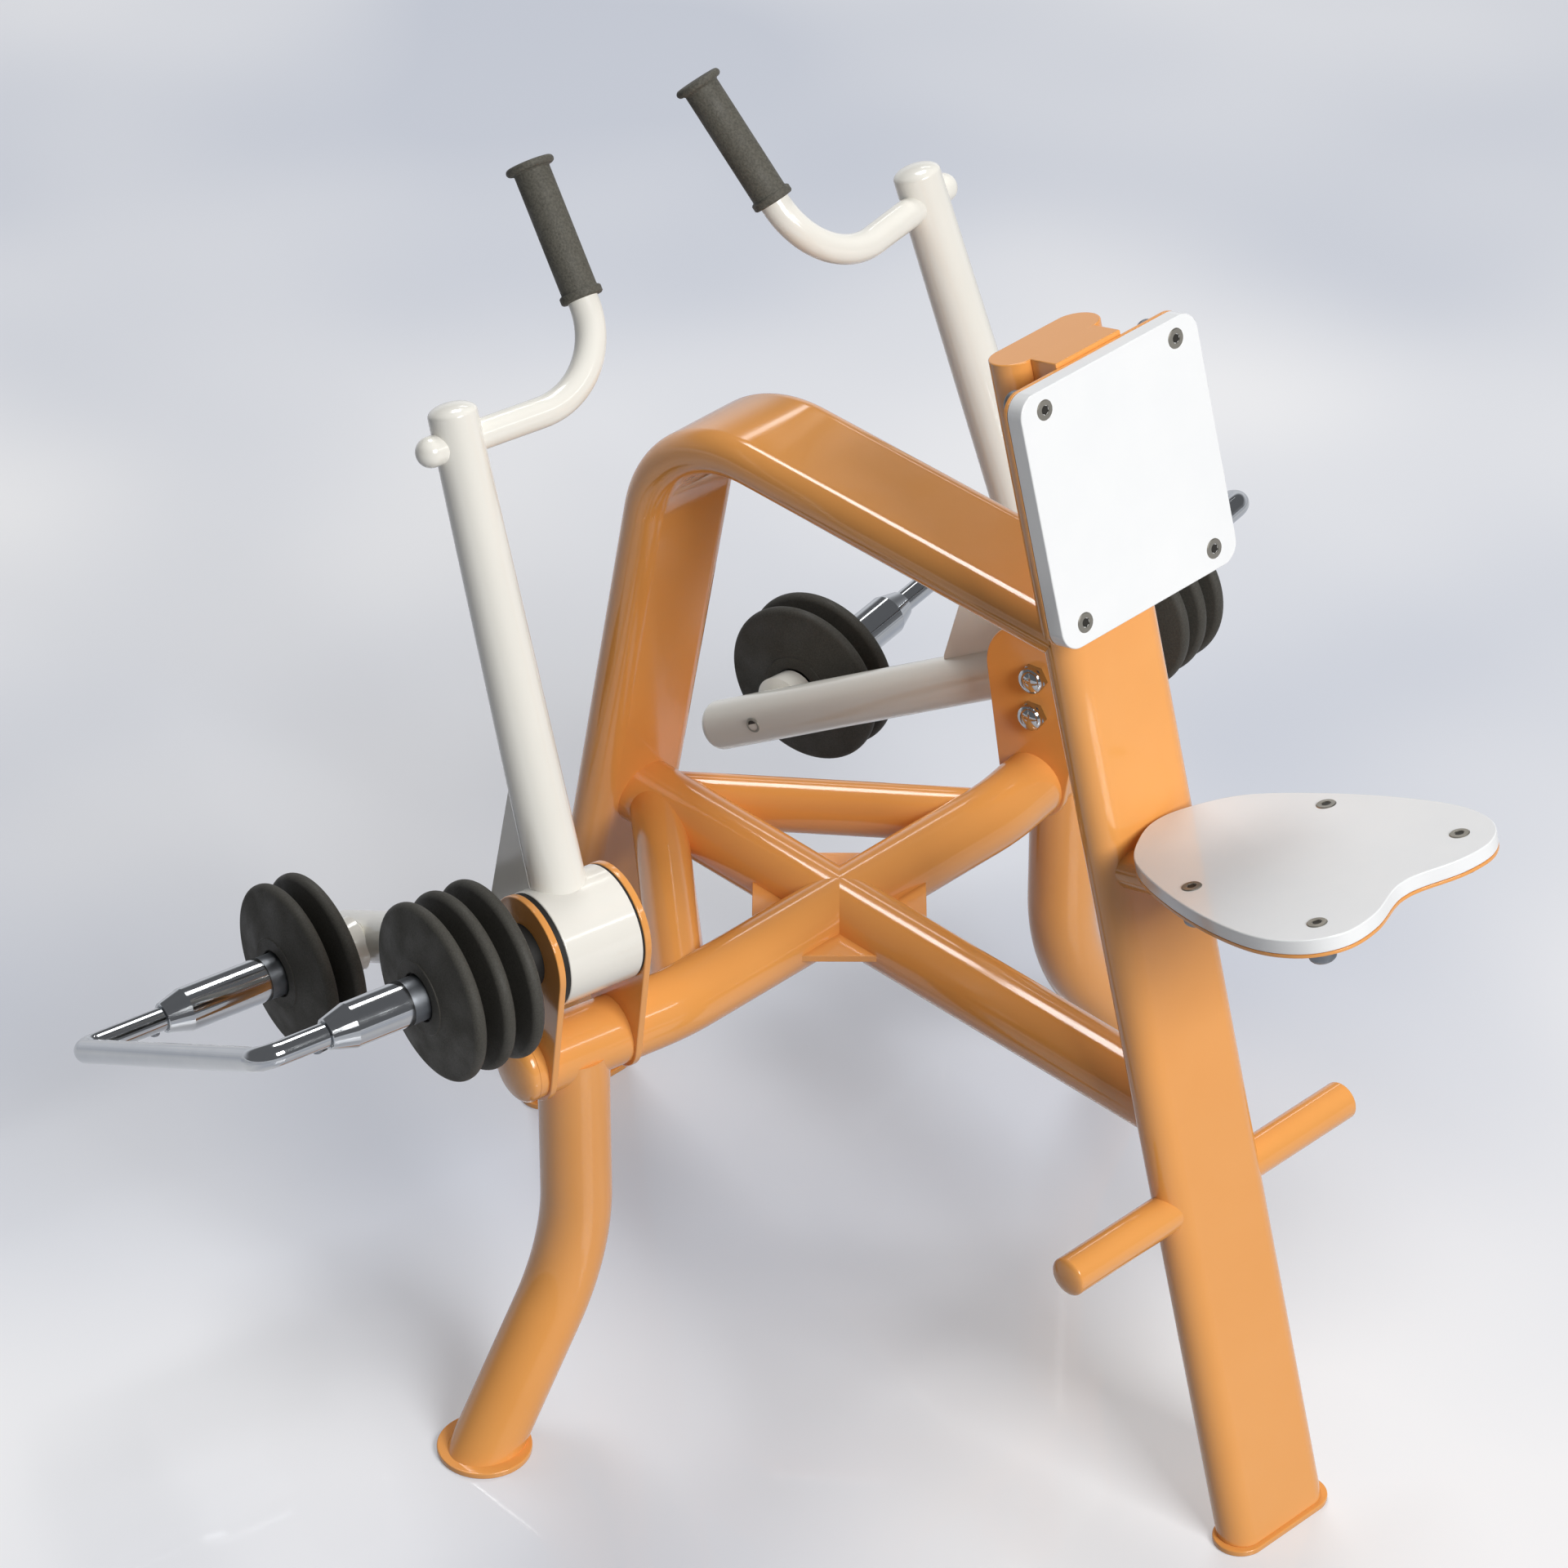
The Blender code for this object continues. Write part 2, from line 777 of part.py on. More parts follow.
def make_axle(side_name, side, pivot):
    """The fixed axle: a domed nut inside, a shank through the hub, and the discs' smooth shaft."""
    collar_in = outer_bracket_out + gap
    tip = rear_discs_end + axle_spigot
    profile = [
        (0, tip),
        (axle_radius, tip),
        (axle_radius, rear_discs_end),
        (shaft_radius - shaft_edge, rear_discs_end),
        (shaft_radius, rear_discs_end - shaft_edge),
        (shaft_radius, rear_disc_seat),
        (axle_collar_radius, rear_disc_seat),
        (axle_collar_radius, collar_in),
        (axle_radius, collar_in),
    ]
    turned("axle_" + side_name, profile + dome_nut(axle_radius), outwards(side), pivot, chrome)


def make_stop_pin(side_name, side, pivot):
    """The pin through both plates and the hub's arc slot, which stops the lever at both ends."""
    place = Matrix.Translation((0, 0, -stop_pin_drop)) @ outwards(side)
    head_in = outer_bracket_out + gap
    profile = [
        (0, head_in + pin_head_height),
        (pin_head_radius, head_in + pin_head_height),
        (pin_head_radius, head_in),
        (stop_pin_radius, head_in),
    ]
    turned("stop_pin_" + side_name, profile + dome_nut(stop_pin_radius), place, pivot, chrome)


def arc_slot(name, pivot):
    """A slot along the stop pin's path in the hub, from its rest place back round the axle."""
    half = stop_pin_radius + running_gap
    down = -math.pi / 2
    back = down - lever_travel
    outline = arc((0, 0), stop_pin_drop + half, back, down, round_steps)
    outline += arc((0, -stop_pin_drop), half, down, down + math.pi, round_steps)[1:-1]
    outline += arc((0, 0), stop_pin_drop - half, down, back, round_steps)
    end = (stop_pin_drop * math.cos(back), stop_pin_drop * math.sin(back))
    outline += arc(end, half, back + math.pi, back + 2 * math.pi, round_steps)[1:-1]
    length = 2 * (hub_outer_end - hub_inner_end)
    return flat_solid(name, [outline], length, across_axle, pivot, None)


def make_hub(side_name, side, pivot):
    """The lever's hub: a hollow drum with a sleeve round the axle and an arc slot in both faces."""
    bore = around(axle_radius, running_gap, drum_sides)
    edge = hub_radius - hub_edge
    profile = [
        (edge, hub_outer_end),
        (hub_radius, hub_outer_end - hub_edge),
        (hub_radius, hub_inner_end + hub_edge),
        (edge, hub_inner_end),
        (bore, hub_inner_end),
        (bore, hub_outer_end),
    ]
    place = outwards(side)
    hub = turned("lever_hub_" + side_name, profile, place, pivot, white_paint, sides=drum_sides)
    hollow_profile = [
        (hub_radius - hub_wall, hub_outer_end - hub_flange),
        (hub_radius - hub_wall, hub_inner_end + hub_flange),
        (hub_sleeve_radius, hub_inner_end + hub_flange),
        (hub_sleeve_radius, hub_outer_end - hub_flange),
    ]
    hollow = turned("hub_hollow_" + side_name, hollow_profile, place, pivot, None)
    cut(hub, hollow, arc_slot("hub_slot_" + side_name, pivot))


def lever_profile(growth):
    """The lever tube's outer profile, from its domed top down to inside the hub."""
    base = hub_radius - lever_root
    profile = domed_cap(lever_top_radius + growth, lever_cap_rise + growth, lever_length)
    profile.append((lever_base_radius + growth, base))
    return profile, base


def make_lever_tube(side_name, side, pivot, hub_trim, handle_trim):
    """The tapered lever tube with a domed top, open where it meets the hub."""
    outer, base = lever_profile(0)
    inner_top = lever_length - lever_wall
    profile = outer + [
        (lever_base_radius - lever_wall, base),
        (lever_top_radius - lever_wall, inner_top),
        (0, inner_top),
    ]
    lever = turned("lever_tube_" + side_name, profile, leaning(lever_lean), pivot, white_paint)
    cut(lever, hub_trim, handle_trim)


def arm_place():
    """The arm's axis: its Z runs down and forwards from the hub, a little below the pivot."""
    turn = leaning(math.pi / 2 + arm_drop)
    return turn @ Matrix.Translation((0, arm_below_pivot, 0))


def load_place(side):
    """The front shaft's axis on the arm, laid along the axle's direction."""
    y = load_reach * math.cos(load_drop)
    z = -load_reach * math.sin(load_drop)
    return Matrix.Translation((0, y, z)) @ outwards(side)


def make_arm(side_name, side, pivot, hub_trim):
    """The arm: a round tube with a domed tip and a welded boss for the front shaft."""
    base = hub_radius - lever_root
    straight = arm_length - arm_cap_rise
    profile = domed_cap(arm_radius, arm_cap_rise, straight) + [
        (arm_radius, base),
        (arm_radius - arm_wall, base),
        (arm_radius - arm_wall, straight - arm_wall),
        (0, straight - arm_wall),
    ]
    arm = turned("arm_tube_" + side_name, profile, arm_place(), pivot, white_paint)
    boss_end = front_disc_seat
    sleeve_in = -arm_radius + arm_wall / 2
    boss_profile = [
        (0, boss_end),
        (boss_top_radius, boss_end),
        (boss_base_radius, arm_radius - arm_wall),
        (arm_sleeve_radius, arm_radius - arm_wall * 2),
        (arm_sleeve_radius, sleeve_in),
        (0, sleeve_in),
    ]
    boss = turned("arm_boss_" + side_name, boss_profile, load_place(side), pivot, None)
    bore = bore_tool("arm_bore_" + side_name, front_spigot_radius, gap, boss_end + overrun, load_place(side),
                     pivot, hole_sides)
    cut(arm, hub_trim)
    join(arm, boss)
    cut(arm, bore)


def make_front_shaft(side_name, side, pivot):
    """The front shaft on the arm: a spigot through the boss and the smooth run for the discs."""
    tail = -arm_radius + front_screw_recess
    seat = front_disc_seat + gap
    profile = [
        (0, front_shaft_end),
        (shaft_radius, front_shaft_end),
        (shaft_radius, seat),
        (front_spigot_radius, seat),
        (front_spigot_radius, tail),
        (0, tail),
    ]
    turned("front_shaft_" + side_name, profile, load_place(side), pivot, chrome)


def make_load_bar(side_name, side, pivot):
    """The bar round both shafts' ends: a nose that turns on the axle's tip, a cone at the front."""
    nose_in = rear_discs_end + gap
    bore = around(axle_radius, running_gap, tube_sides)
    bore_end = rear_discs_end + axle_spigot + running_gap
    cone_end = nose_end + nose_cone
    nose_profile = [
        (0, cone_end),
        (nose_tip_radius, cone_end),
        (shaft_radius, nose_end),
        (shaft_radius, nose_in + shaft_edge),
        (shaft_radius - shaft_edge, nose_in),
        (bore, nose_in),
        (bore, bore_end),
        (0, bore_end),
    ]
    nose = turned("load_bar_" + side_name, nose_profile, outwards(side), pivot, chrome)
    cone_in = front_shaft_end + gap
    front_profile = [
        (0, cone_in + nose_cone),
        (nose_tip_radius, cone_in + nose_cone),
        (shaft_radius, cone_in),
        (0, cone_in),
    ]
    cone = turned("load_bar_cone_" + side_name, front_profile, load_place(side), pivot, None)
    load_y = load_reach * math.cos(load_drop)
    load_z = -load_reach * math.sin(load_drop)
    corners = [
        (side * nose_end, 0, 0),
        (side * load_bar_out, 0, 0),
        (side * load_bar_out, load_y, load_z),
        (side * (cone_in + nose_cone / 2), load_y, load_z),
    ]
    radii = [load_bar_bend_radius, load_bar_bend_radius]
    path = bent_path(corners, radii, bar_bend_step)
    bar = rod("load_bar_rod_" + side_name, path, load_bar_radius, ground, pivot, None, sides=bar_sides)
    join(nose, bar, cone)


def handle_points(side):
    """The handle's axis: through the lever tube, inwards, then up and forwards to the grip."""
    y = handle_height * math.sin(lever_lean)
    z = handle_height * math.cos(lever_lean)
    start = Vector((side * handle_outer_end, y, z))
    corner = Vector((-side * handle_inner_reach, y, z))
    rise = Vector((0, math.sin(handle_rise), math.cos(handle_rise)))
    return start, corner, rise


def make_handle(side_name, side, pivot):
    """The bent handle bar with a round outer end, and the grip pushed over its top."""
    start, corner, rise = handle_points(side)
    end = corner + rise * handle_length
    path = bent_path([start, corner, end], [handle_bend_radius], bar_bend_step)
    outward = Vector((side, 0, 0))
    dome = []
    radii = []
    for index in range(cap_steps, 0, -1):
        turn = math.pi / 2 * index / (cap_steps + 1)
        dome.append(start + outward * handle_radius * math.sin(turn))
        radii.append(math.cos(turn))
    radii += [1] * len(path)
    rod("handle_bar_" + side_name, dome + path, handle_radius, ground, pivot, white_paint,
        sides=grip_sides, radii=radii)
    bore = around(handle_radius, gap, grip_sides)
    inner_top = handle_length + gap
    flange_top = inner_top + grip_top_wall
    flange_low = flange_top - grip_flange_thickness
    collar_top = grip_start + grip_collar_length / 2
    collar_low = grip_start - grip_collar_length / 2
    profile = [
        (0, flange_top),
        (grip_flange_radius - grip_top_wall / 2, flange_top),
        (grip_flange_radius, flange_top - grip_flange_thickness / 2),
        (grip_flange_radius - grip_top_wall / 2, flange_low),
        (grip_radius, flange_low),
        (grip_radius, collar_top),
        (grip_collar_radius, collar_top),
        (grip_collar_radius, collar_low),
        (bore, collar_low),
        (bore, inner_top),
        (0, inner_top),
    ]
    place = Matrix.Translation(corner) @ leaning(handle_rise)
    turned("hand_grip_" + side_name, profile, place, pivot, rubber, sides=grip_sides)


def make_gusset(side_name, side, pivot, hub_trim):
    """The flat gusset in the corner between the arm and the lever tube."""
    arm_axis_z = -gusset_arm_reach * math.tan(arm_drop)
    lever_y = gusset_high_rise * math.tan(lever_lean)
    outline = [
        (0, 0),
        (gusset_arm_reach, arm_axis_z),
        (gusset_arm_reach, arm_axis_z + arm_radius),
        (gusset_high_reach, gusset_high_rise),
        (lever_y, gusset_high_rise),
    ]
    gusset = flat_solid("lever_gusset_" + side_name, [outline], gusset_thickness, across_axle, pivot,
                        white_paint)
    outer, base = lever_profile(gap)
    lever_trim = turned("lever_envelope_" + side_name, outer + [(0, base)], leaning(lever_lean), pivot,
                        None)
    arm_profile = [(0, arm_length), (arm_radius + gap, arm_length), (arm_radius + gap, 0), (0, 0)]
    arm_trim = turned("arm_envelope_" + side_name, arm_profile, arm_place(), pivot, None)
    cut(gusset, hub_trim, lever_trim, arm_trim)


def disc_profile():
    """A disc's section: a round rim, faces that rise to a raised hub, and the bore."""
    half_rim = disc_rim_thickness / 2
    half_hub = disc_hub_thickness / 2
    face = half_rim + disc_face_rise
    bore = around(shaft_radius, running_gap, disc_sides)
    rim = []
    for index in range(cap_steps):
        turn = math.pi / 2 * (1 - index / (cap_steps - 1))
        rim.append((disc_radius - disc_rim_round * (1 - math.cos(turn)),
                    half_rim - disc_rim_round * (1 - math.sin(turn))))
    step = [(disc_hub_radius, half_hub), (disc_hub_radius, face)]
    upper = [(bore, half_hub)] + step + rim
    lower = [(radius, -height) for radius, height in reversed(upper)]
    return upper + lower


def make_discs(side_name, side, pivot):
    """Three discs waiting on the rear shaft and two on the front one, hub against hub."""
    pitch = disc_hub_thickness + gap
    stacks = (
        ("disc_rear_", rear_disc_names, rear_disc_seat, outwards(side)),
        ("disc_front_", front_disc_names, front_disc_seat + gap, load_place(side)),
    )
    for prefix, names, seat, place in stacks:
        for index, name in enumerate(names):
            middle = seat + gap + disc_hub_thickness / 2 + index * pitch
            turned(prefix + name + "_" + side_name, disc_profile(),
                   place @ Matrix.Translation((0, 0, middle)), pivot, rubber, sides=disc_sides)


def make_lever_unit(side_name, side):
    """Everything on one pivot: brackets and axle on the frame, lever, arm and discs on the hub."""
    pivot = make_empty("pivot_" + side_name, toed_place(side, 0, base_tube_height + pivot_rise))
    make_brackets(side_name, side, pivot)
    make_washers(side_name, side, pivot)
    make_axle(side_name, side, pivot)
    make_stop_pin(side_name, side, pivot)
    make_hub(side_name, side, pivot)
    hub_half = bracket_top_radius
    hub_profile = [(0, hub_half), (hub_radius + gap, hub_half), (hub_radius + gap, -hub_half),
                   (0, -hub_half)]
    hub_trim = turned("hub_envelope_" + side_name, hub_profile, outwards(side), pivot, None, drum_sides)
    start, corner, rise = handle_points(side)
    hole_half = lever_base_radius + overrun
    handle_trim = bore_tool("handle_envelope_" + side_name, handle_radius, gap, hole_half,
                            Matrix.Translation((0, start.y, start.z)) @ outwards(side), pivot,
                            grip_sides)
    make_lever_tube(side_name, side, pivot, hub_trim, handle_trim)
    make_arm(side_name, side, pivot, hub_trim)
    make_front_shaft(side_name, side, pivot)
    make_load_bar(side_name, side, pivot)
    make_handle(side_name, side, pivot)
    make_gusset(side_name, side, pivot, hub_trim)
    make_discs(side_name, side, pivot)


def make_foot_bar():
    """The round foot bar through the post, with domed ends."""
    straight = foot_bar_half_length
    cap = domed_cap(foot_bar_radius, foot_bar_cap_rise, straight)
    profile = cap + [(radius, -height) for radius, height in reversed(cap)]
    place = Matrix.Translation((0, 0, foot_bar_height)) @ outwards(1)
    turned("foot_bar", profile, place, post_axis, orange_paint)


def make_pad():
    """The chest pad: a spacer on the post's back, a steel plate and a thick board."""
    outline = rounded_rectangle(-pad_half_width, pad_half_width, -pad_bottom, pad_top, pad_corner_radius)
    upright = Matrix.Rotation(right_angle, 4, "X")
    board_middle = pad_face_back - pad_thickness / 2
    board_place = Matrix.Translation((0, -board_middle, pad_height)) @ upright
    board = flat_solid("pad_board", [outline], pad_thickness, board_place, post_axis, board_plastic)
    round_edges(board, pad_edge)
    plate_front = pad_face_back - pad_thickness - gap
    plate_middle = plate_front - support_plate_thickness / 2
    plate_place = Matrix.Translation((0, -plate_middle, pad_height)) @ upright
    flat_solid("pad_plate", [outline], support_plate_thickness, plate_place, post_axis, orange_paint)
    spacer_back = oval_depth / 2 + gap
    spacer_front = plate_front - support_plate_thickness - gap
    half = pad_spacer_width / 2
    spacer_outline = [(-half, -spacer_front), (half, -spacer_front), (half, -spacer_back),
                      (-half, -spacer_back)]
    spacer_place = Matrix.Translation((0, 0, post_length - pad_spacer_length / 2))
    spacer = flat_solid("pad_spacer", [spacer_outline], pad_spacer_length, spacer_place, post_axis,
                        orange_paint)
    cut(spacer, post_trim)


def seat_outline():
    """The saddle outline: a round nose towards the post, wide hips and a notch between two lobes."""
    half = [(share * seat_half_width, -seat_front_back - back * seat_length)
            for share, back in seat_outline_shares]
    nose = (0, -seat_front_back)
    notch = (0, -seat_front_back - seat_length * seat_notch_share)
    other = [(-x, y) for x, y in reversed(half)]
    return smooth_outline([nose] + half + [notch] + other, outline_steps)


def make_seat():
    """The seat: a flat oval bracket out of the post, a thin steel plate and the moulded board."""
    outline = seat_outline()
    board_place = Matrix.Translation((0, 0, seat_height - seat_thickness / 2))
    board = flat_solid("seat_board", [outline], seat_thickness, board_place, post_axis, board_plastic)
    round_edges(board, seat_edge, segments=1)
    plate_top = seat_height - seat_thickness - gap
    plate_place = Matrix.Translation((0, 0, plate_top - seat_plate_thickness / 2))
    flat_solid("seat_plate", [outline], seat_plate_thickness, plate_place, post_axis, orange_paint)
    bracket_top = plate_top - seat_plate_thickness - gap
    section = oval_outline(seat_bracket_width, seat_bracket_depth)
    inner = oval_outline(seat_bracket_width - 2 * oval_wall, seat_bracket_depth - 2 * oval_wall)
    upright = Matrix.Rotation(right_angle, 4, "X")
    bracket_place = Matrix.Translation((0, -seat_bracket_length / 2, bracket_top - seat_bracket_depth / 2))
    bracket = flat_solid("seat_bracket", [section, inner], seat_bracket_length,
                         bracket_place @ upright, post_axis, orange_paint)
    cut(bracket, post_trim)


def make_base():
    """The tubes on the ground and between the post, the arch and the pivots."""
    make_foot_plate("post_foot_plate", post_foot_y)
    make_foot_plate("arch_foot_plate", arch_foot_y)
    make_cross_tube()
    make_spine("spine_front", cross_tube_y + cope_start, arch_y(base_tube_height), arch_trim, 1)
    make_spine("spine_rear", cross_tube_y - cope_start, post_y(base_tube_height), post_trim, -1)
    make_braces()
    make_legs()


make_post()
make_arch()
make_base()
make_foot_bar()
make_pad()
make_seat()
for side_name, side in sides.items():
    make_lever_unit(side_name, side)
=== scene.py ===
"""Dressed outdoor rowing machine: painted tubes, white boards, rubber grips, discs and chrome.

Sizes are in metres. The machine faces +Y, X = 0 is its mirror plane and the ground is Z = 0. Each
lever's pieces are placed from its joint in the frame, with local X along the toed axle.
"""

import json
import math

import bmesh
import bpy
from mathutils import Matrix, Vector


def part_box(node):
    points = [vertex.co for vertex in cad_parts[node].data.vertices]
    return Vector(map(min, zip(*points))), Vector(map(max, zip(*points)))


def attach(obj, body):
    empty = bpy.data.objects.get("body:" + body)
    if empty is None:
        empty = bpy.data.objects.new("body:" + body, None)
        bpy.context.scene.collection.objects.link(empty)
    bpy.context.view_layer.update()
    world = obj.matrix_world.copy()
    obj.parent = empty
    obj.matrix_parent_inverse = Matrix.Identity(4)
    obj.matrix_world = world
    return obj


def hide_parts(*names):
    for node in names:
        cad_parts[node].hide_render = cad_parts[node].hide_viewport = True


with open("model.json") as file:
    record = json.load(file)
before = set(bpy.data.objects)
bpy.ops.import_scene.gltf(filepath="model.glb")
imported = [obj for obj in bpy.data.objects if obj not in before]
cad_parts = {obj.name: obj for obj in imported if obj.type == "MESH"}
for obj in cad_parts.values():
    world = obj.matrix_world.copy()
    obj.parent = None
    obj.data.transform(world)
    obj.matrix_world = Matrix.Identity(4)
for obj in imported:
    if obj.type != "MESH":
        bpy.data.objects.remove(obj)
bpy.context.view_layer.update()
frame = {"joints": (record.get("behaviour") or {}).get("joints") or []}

# Flat oval tube of the post, the arch and the seat bracket
oval_width = 0.138
oval_depth = 0.050
oval_edge = 0.0015

# Round tubes of the base
main_tube_radius = 0.03805
brace_radius = 0.03015
base_tube_height = 0.461
pivot_out = 0.1272
cross_tube_straight = 0.244
cross_tube_bend_radius = 0.300
cross_tube_end = 0.062
cross_cap_rise = 0.015
cross_cap_rim = 0.004
brace_angle = math.radians(50.3)
brace_foot_x = 0.2341
web_reach = 0.0933
web_thickness = 0.008
leg_out = 0.0016
leg_back = 0.0035
leg_knee_height = 0.200
leg_bend_radius = 0.250
leg_overrun = 1 / 8

# Post, arch and the pieces on the post's axis
post_lean = math.radians(15.7)
post_length = 1.347
arch_lean = math.radians(11.5)
arch_beam_height = 1.005
arch_bend_radius = 0.160
plate_edge = 0.0015
foot_bar_height = 0.398
foot_bar_radius = 0.0212
foot_bar_half_length = 0.206
foot_bar_cap_rise = 0.007

# Pivot brackets, washers and hub, along the axle
bracket_thickness = 0.008
bracket_top_radius = 0.063
bracket_bottom_radius = 0.042
hub_radius = 0.0625
hub_outer_end = 0.0383
hub_inner_end = -0.0497
hub_edge = 0.0015
inner_washer_thickness = 0.0016
outer_washer_thickness = 0.0055
washer_radius = 0.0618
stop_pin_drop = 0.0485

# The gap left between pieces that touch on the real machine
fit = 0.0003

# Shaft, collar, domed nuts and pin heads
shaft_radius = 0.0245
collar_radius = 0.034
dome_nut_radius = 0.0152
dome_nut_hexagon = 0.0168
dome_nut_skirt = 0.0055
dome_nut_height = 0.017
pin_head_radius = 0.010
pin_head_height = 0.004

# Discs
disc_radius = 0.09675
disc_rim_thickness = 0.0152
disc_rim_round = 0.0072
disc_hub_thickness = 0.0343
disc_hub_radius = 0.041
disc_face_rise = 0.0079
disc_bore_radius = 0.025
disc_recess_radius = 0.0265
disc_recess_depth = 0.005
disc_edge = 0.001
rear_disc_seat = 0.0796
front_disc_seat = 0.0570
rear_disc_names = ("inner", "middle", "outer")
front_disc_names = ("inner", "outer")

# Lever, arm and gusset
lever_lean = math.radians(20.7)
lever_length = 0.568
lever_base_radius = 0.0300
lever_top_radius = 0.0258
lever_cap_rise = 0.011
arm_drop = math.radians(30.5)
arm_radius = 0.0285
arm_below_pivot = 0.009
arm_length = 0.553
arm_cap_rise = 0.018
load_reach = 0.4619
load_drop = math.radians(31.26)
boss_base_radius = 0.031
boss_top_radius = 0.026
arm_screw_radius = 0.0085
arm_screw_stand = 0.0005
arm_socket_radius = 0.75 * arm_screw_radius
arm_socket_depth = 0.000375
gusset_thickness = 0.008
gusset_low_reach = 0.155
gusset_high_reach = 0.106
gusset_high_rise = 0.129

# Noses and the bar round the shafts' ends
front_shaft_end = 0.240
nose_end = 0.266
nose_cone = 0.027
nose_tip_radius = 0.017
nose_band_length = 0.017
nose_band_inset = 0.006
nose_groove = 0.002
load_bar_radius = 0.013
load_bar_out = 0.3684
load_bar_bend_radius = 0.022
bar_pin_out = 0.011
bar_pin_radius = 0.006
bar_pin_height = 0.0035

# Handle and grip
handle_height = 0.5375
handle_radius = 0.0162
handle_outer_end = 0.033
handle_inner_reach = 0.1896
handle_bend_radius = 0.092
handle_rise = math.radians(41.2)
handle_length = 0.241
grip_start = 0.099
grip_radius = 0.0192
grip_collar_radius = 0.0225
grip_collar_length = 0.009
grip_flange_radius = 0.026
grip_flange_thickness = 0.0085
grip_top = 0.00326

# Chest pad
pad_height = 1.209
pad_half_width = 0.1248
pad_top = 0.1335
pad_bottom = 0.1355
pad_corner_radius = 0.022
pad_thickness = 0.020
pad_face_back = 0.0852
pad_edge = 0.0015
support_plate_thickness = 0.0045
pad_spacer_width = 0.091
pad_spacer_length = 0.240
pad_screw_across = 0.0926
pad_screw_up = 0.113

# Seat
seat_height = 0.828
seat_front_back = 0.0304
seat_length = 0.3607
seat_half_width = 0.1531
seat_thickness = 0.0155
seat_edge = 0.0015
seat_plate_thickness = 0.0035
seat_bracket_width = 0.119
seat_bracket_depth = 0.040
seat_bracket_length = 0.230
seat_screw_middle = 0.2595
seat_screw_spread = 0.0869
seat_front_screw_across = 0.0986
seat_rear_screw_across = 0.1043
seat_notch_share = 0.93

# Shares of the seat's half width and of its length, from its nose round to its notch
seat_outline_shares = (
    (0.255, 0.035),
    (0.540, 0.135),
    (0.777, 0.345),
    (0.943, 0.577),
    (1.000, 0.775),
    (0.910, 0.915),
    (0.700, 0.988),
    (0.420, 0.988),
    (0.130, 0.940),
)

# Board screws
screw_radius = 0.0105
screw_stand = 0.0010
screw_floor = 0.0003
screw_socket_radius = 0.0050
screw_nut_radius = 0.0140
screw_nut_height = 0.0235
screw_nut_straight = screw_nut_height * 2 / 3

# Facets, and the angles past which an edge is eased or drawn crisp
tube_sides = 64
disc_sides = 96
small_sides = 40
hexagon_sides = 6
bend_step = math.radians(3)
dome_steps = 10
edge_steps = 4
edge_segments = 3
thin_edge_segments = 2
outline_steps = 12
merge_distance = 0.000005
eased_angle = math.radians(45)
crisp_angle = math.radians(38)
turned_crisp_angle = math.radians(12)
right_angle = math.radians(90)

# Most values of a noise texture lie between these
noise_low = 0.3
noise_high = 0.7

# The mix node's sockets by number, because its number and colour sockets share their names
mix_float_first = 2
mix_float_second = 3
mix_first = 6
mix_second = 7
mix_result = 2

# Floor, room and camera
floor_reach = 20
floor_near = 4.0
floor_far = 8.0
floor_patch_mm = 1400
floor_patch_start = 0.35
floor_patch_full = 0.65
# The floor's two colours, mixed in patches: painted shade and painted light
floor_painted_shade = "B3B7C0"
floor_painted_light = "D5D5D6"
floor_bounce = "808184"
floor_lift = 0.40
room_colour = "E4E6EB"
room_dark = 0.22
room_bright = 1.1
room_glow_top = 0.35
room_glow_foot = 0.05
room_bright_side = (0.66, 0.75, 0)
room_side_start = -0.1
room_side_full = 0.9
camera_place = (-4.4242, -4.2565, 5.0640)
camera_pitch = math.radians(54.526)
camera_heading = math.radians(-44.665)
camera_lens = 166.95
sensor_width = 36

# Lamps: place, point faced, width and height, watts, and whether one lights only the machine
lamps = {
    "key": ((-1.2, -9.8, 7.7), (0, 0, 0.7), (6.0, 5.0), 1290, False),
    "side": ((2.1, -4.9, 4.3), (0, 0, 0.7), (1.6, 0.4), 16, True),
    "top": ((1.8, 3.0, 5.9), (0, 0, 0.7), (2.0, 2.0), 150, False),
    "rim": ((3.6, 3.75, 3.7), (0, 0, 0.5), (1.4, 0.35), 8, True),
}


def linear(code):
    """Turn an sRGB hex colour into linear values with an alpha."""
    values = []
    for start in (0, 2, 4):
        value = int(code[start:start + 2], 16) / 255
        values.append(value / 12.92 if value <= 0.04045 else ((value + 0.055) / 1.055) ** 2.4)
    return (*values, 1)


def per_metre(size_mm):
    """How many features of a size in millimetres fit in a metre."""
    return 1000 / size_mm


def new_material(name):
    """Start a node material and give its tree and its shader."""
    material = bpy.data.materials.new(name)
    material.use_nodes = True
    tree = material.node_tree
    return material, tree, tree.nodes["Principled BSDF"]


def add_node(tree, kind, settings=None, links=None):
    """Add a node with its settings and links, each under a property, a socket name or a number."""
    node = tree.nodes.new(kind)
    for key, value in (settings or {}).items():
        if isinstance(key, str) and key not in node.inputs:
            setattr(node, key, value)
        else:
            node.inputs[key].default_value = value
    for key, source in (links or {}).items():
        tree.links.new(source, node.inputs[key])
    return node


def set_shader(shader, settings):
    """Set constant values on the shader's own sockets."""
    for key, value in settings.items():
        shader.inputs[key].default_value = value


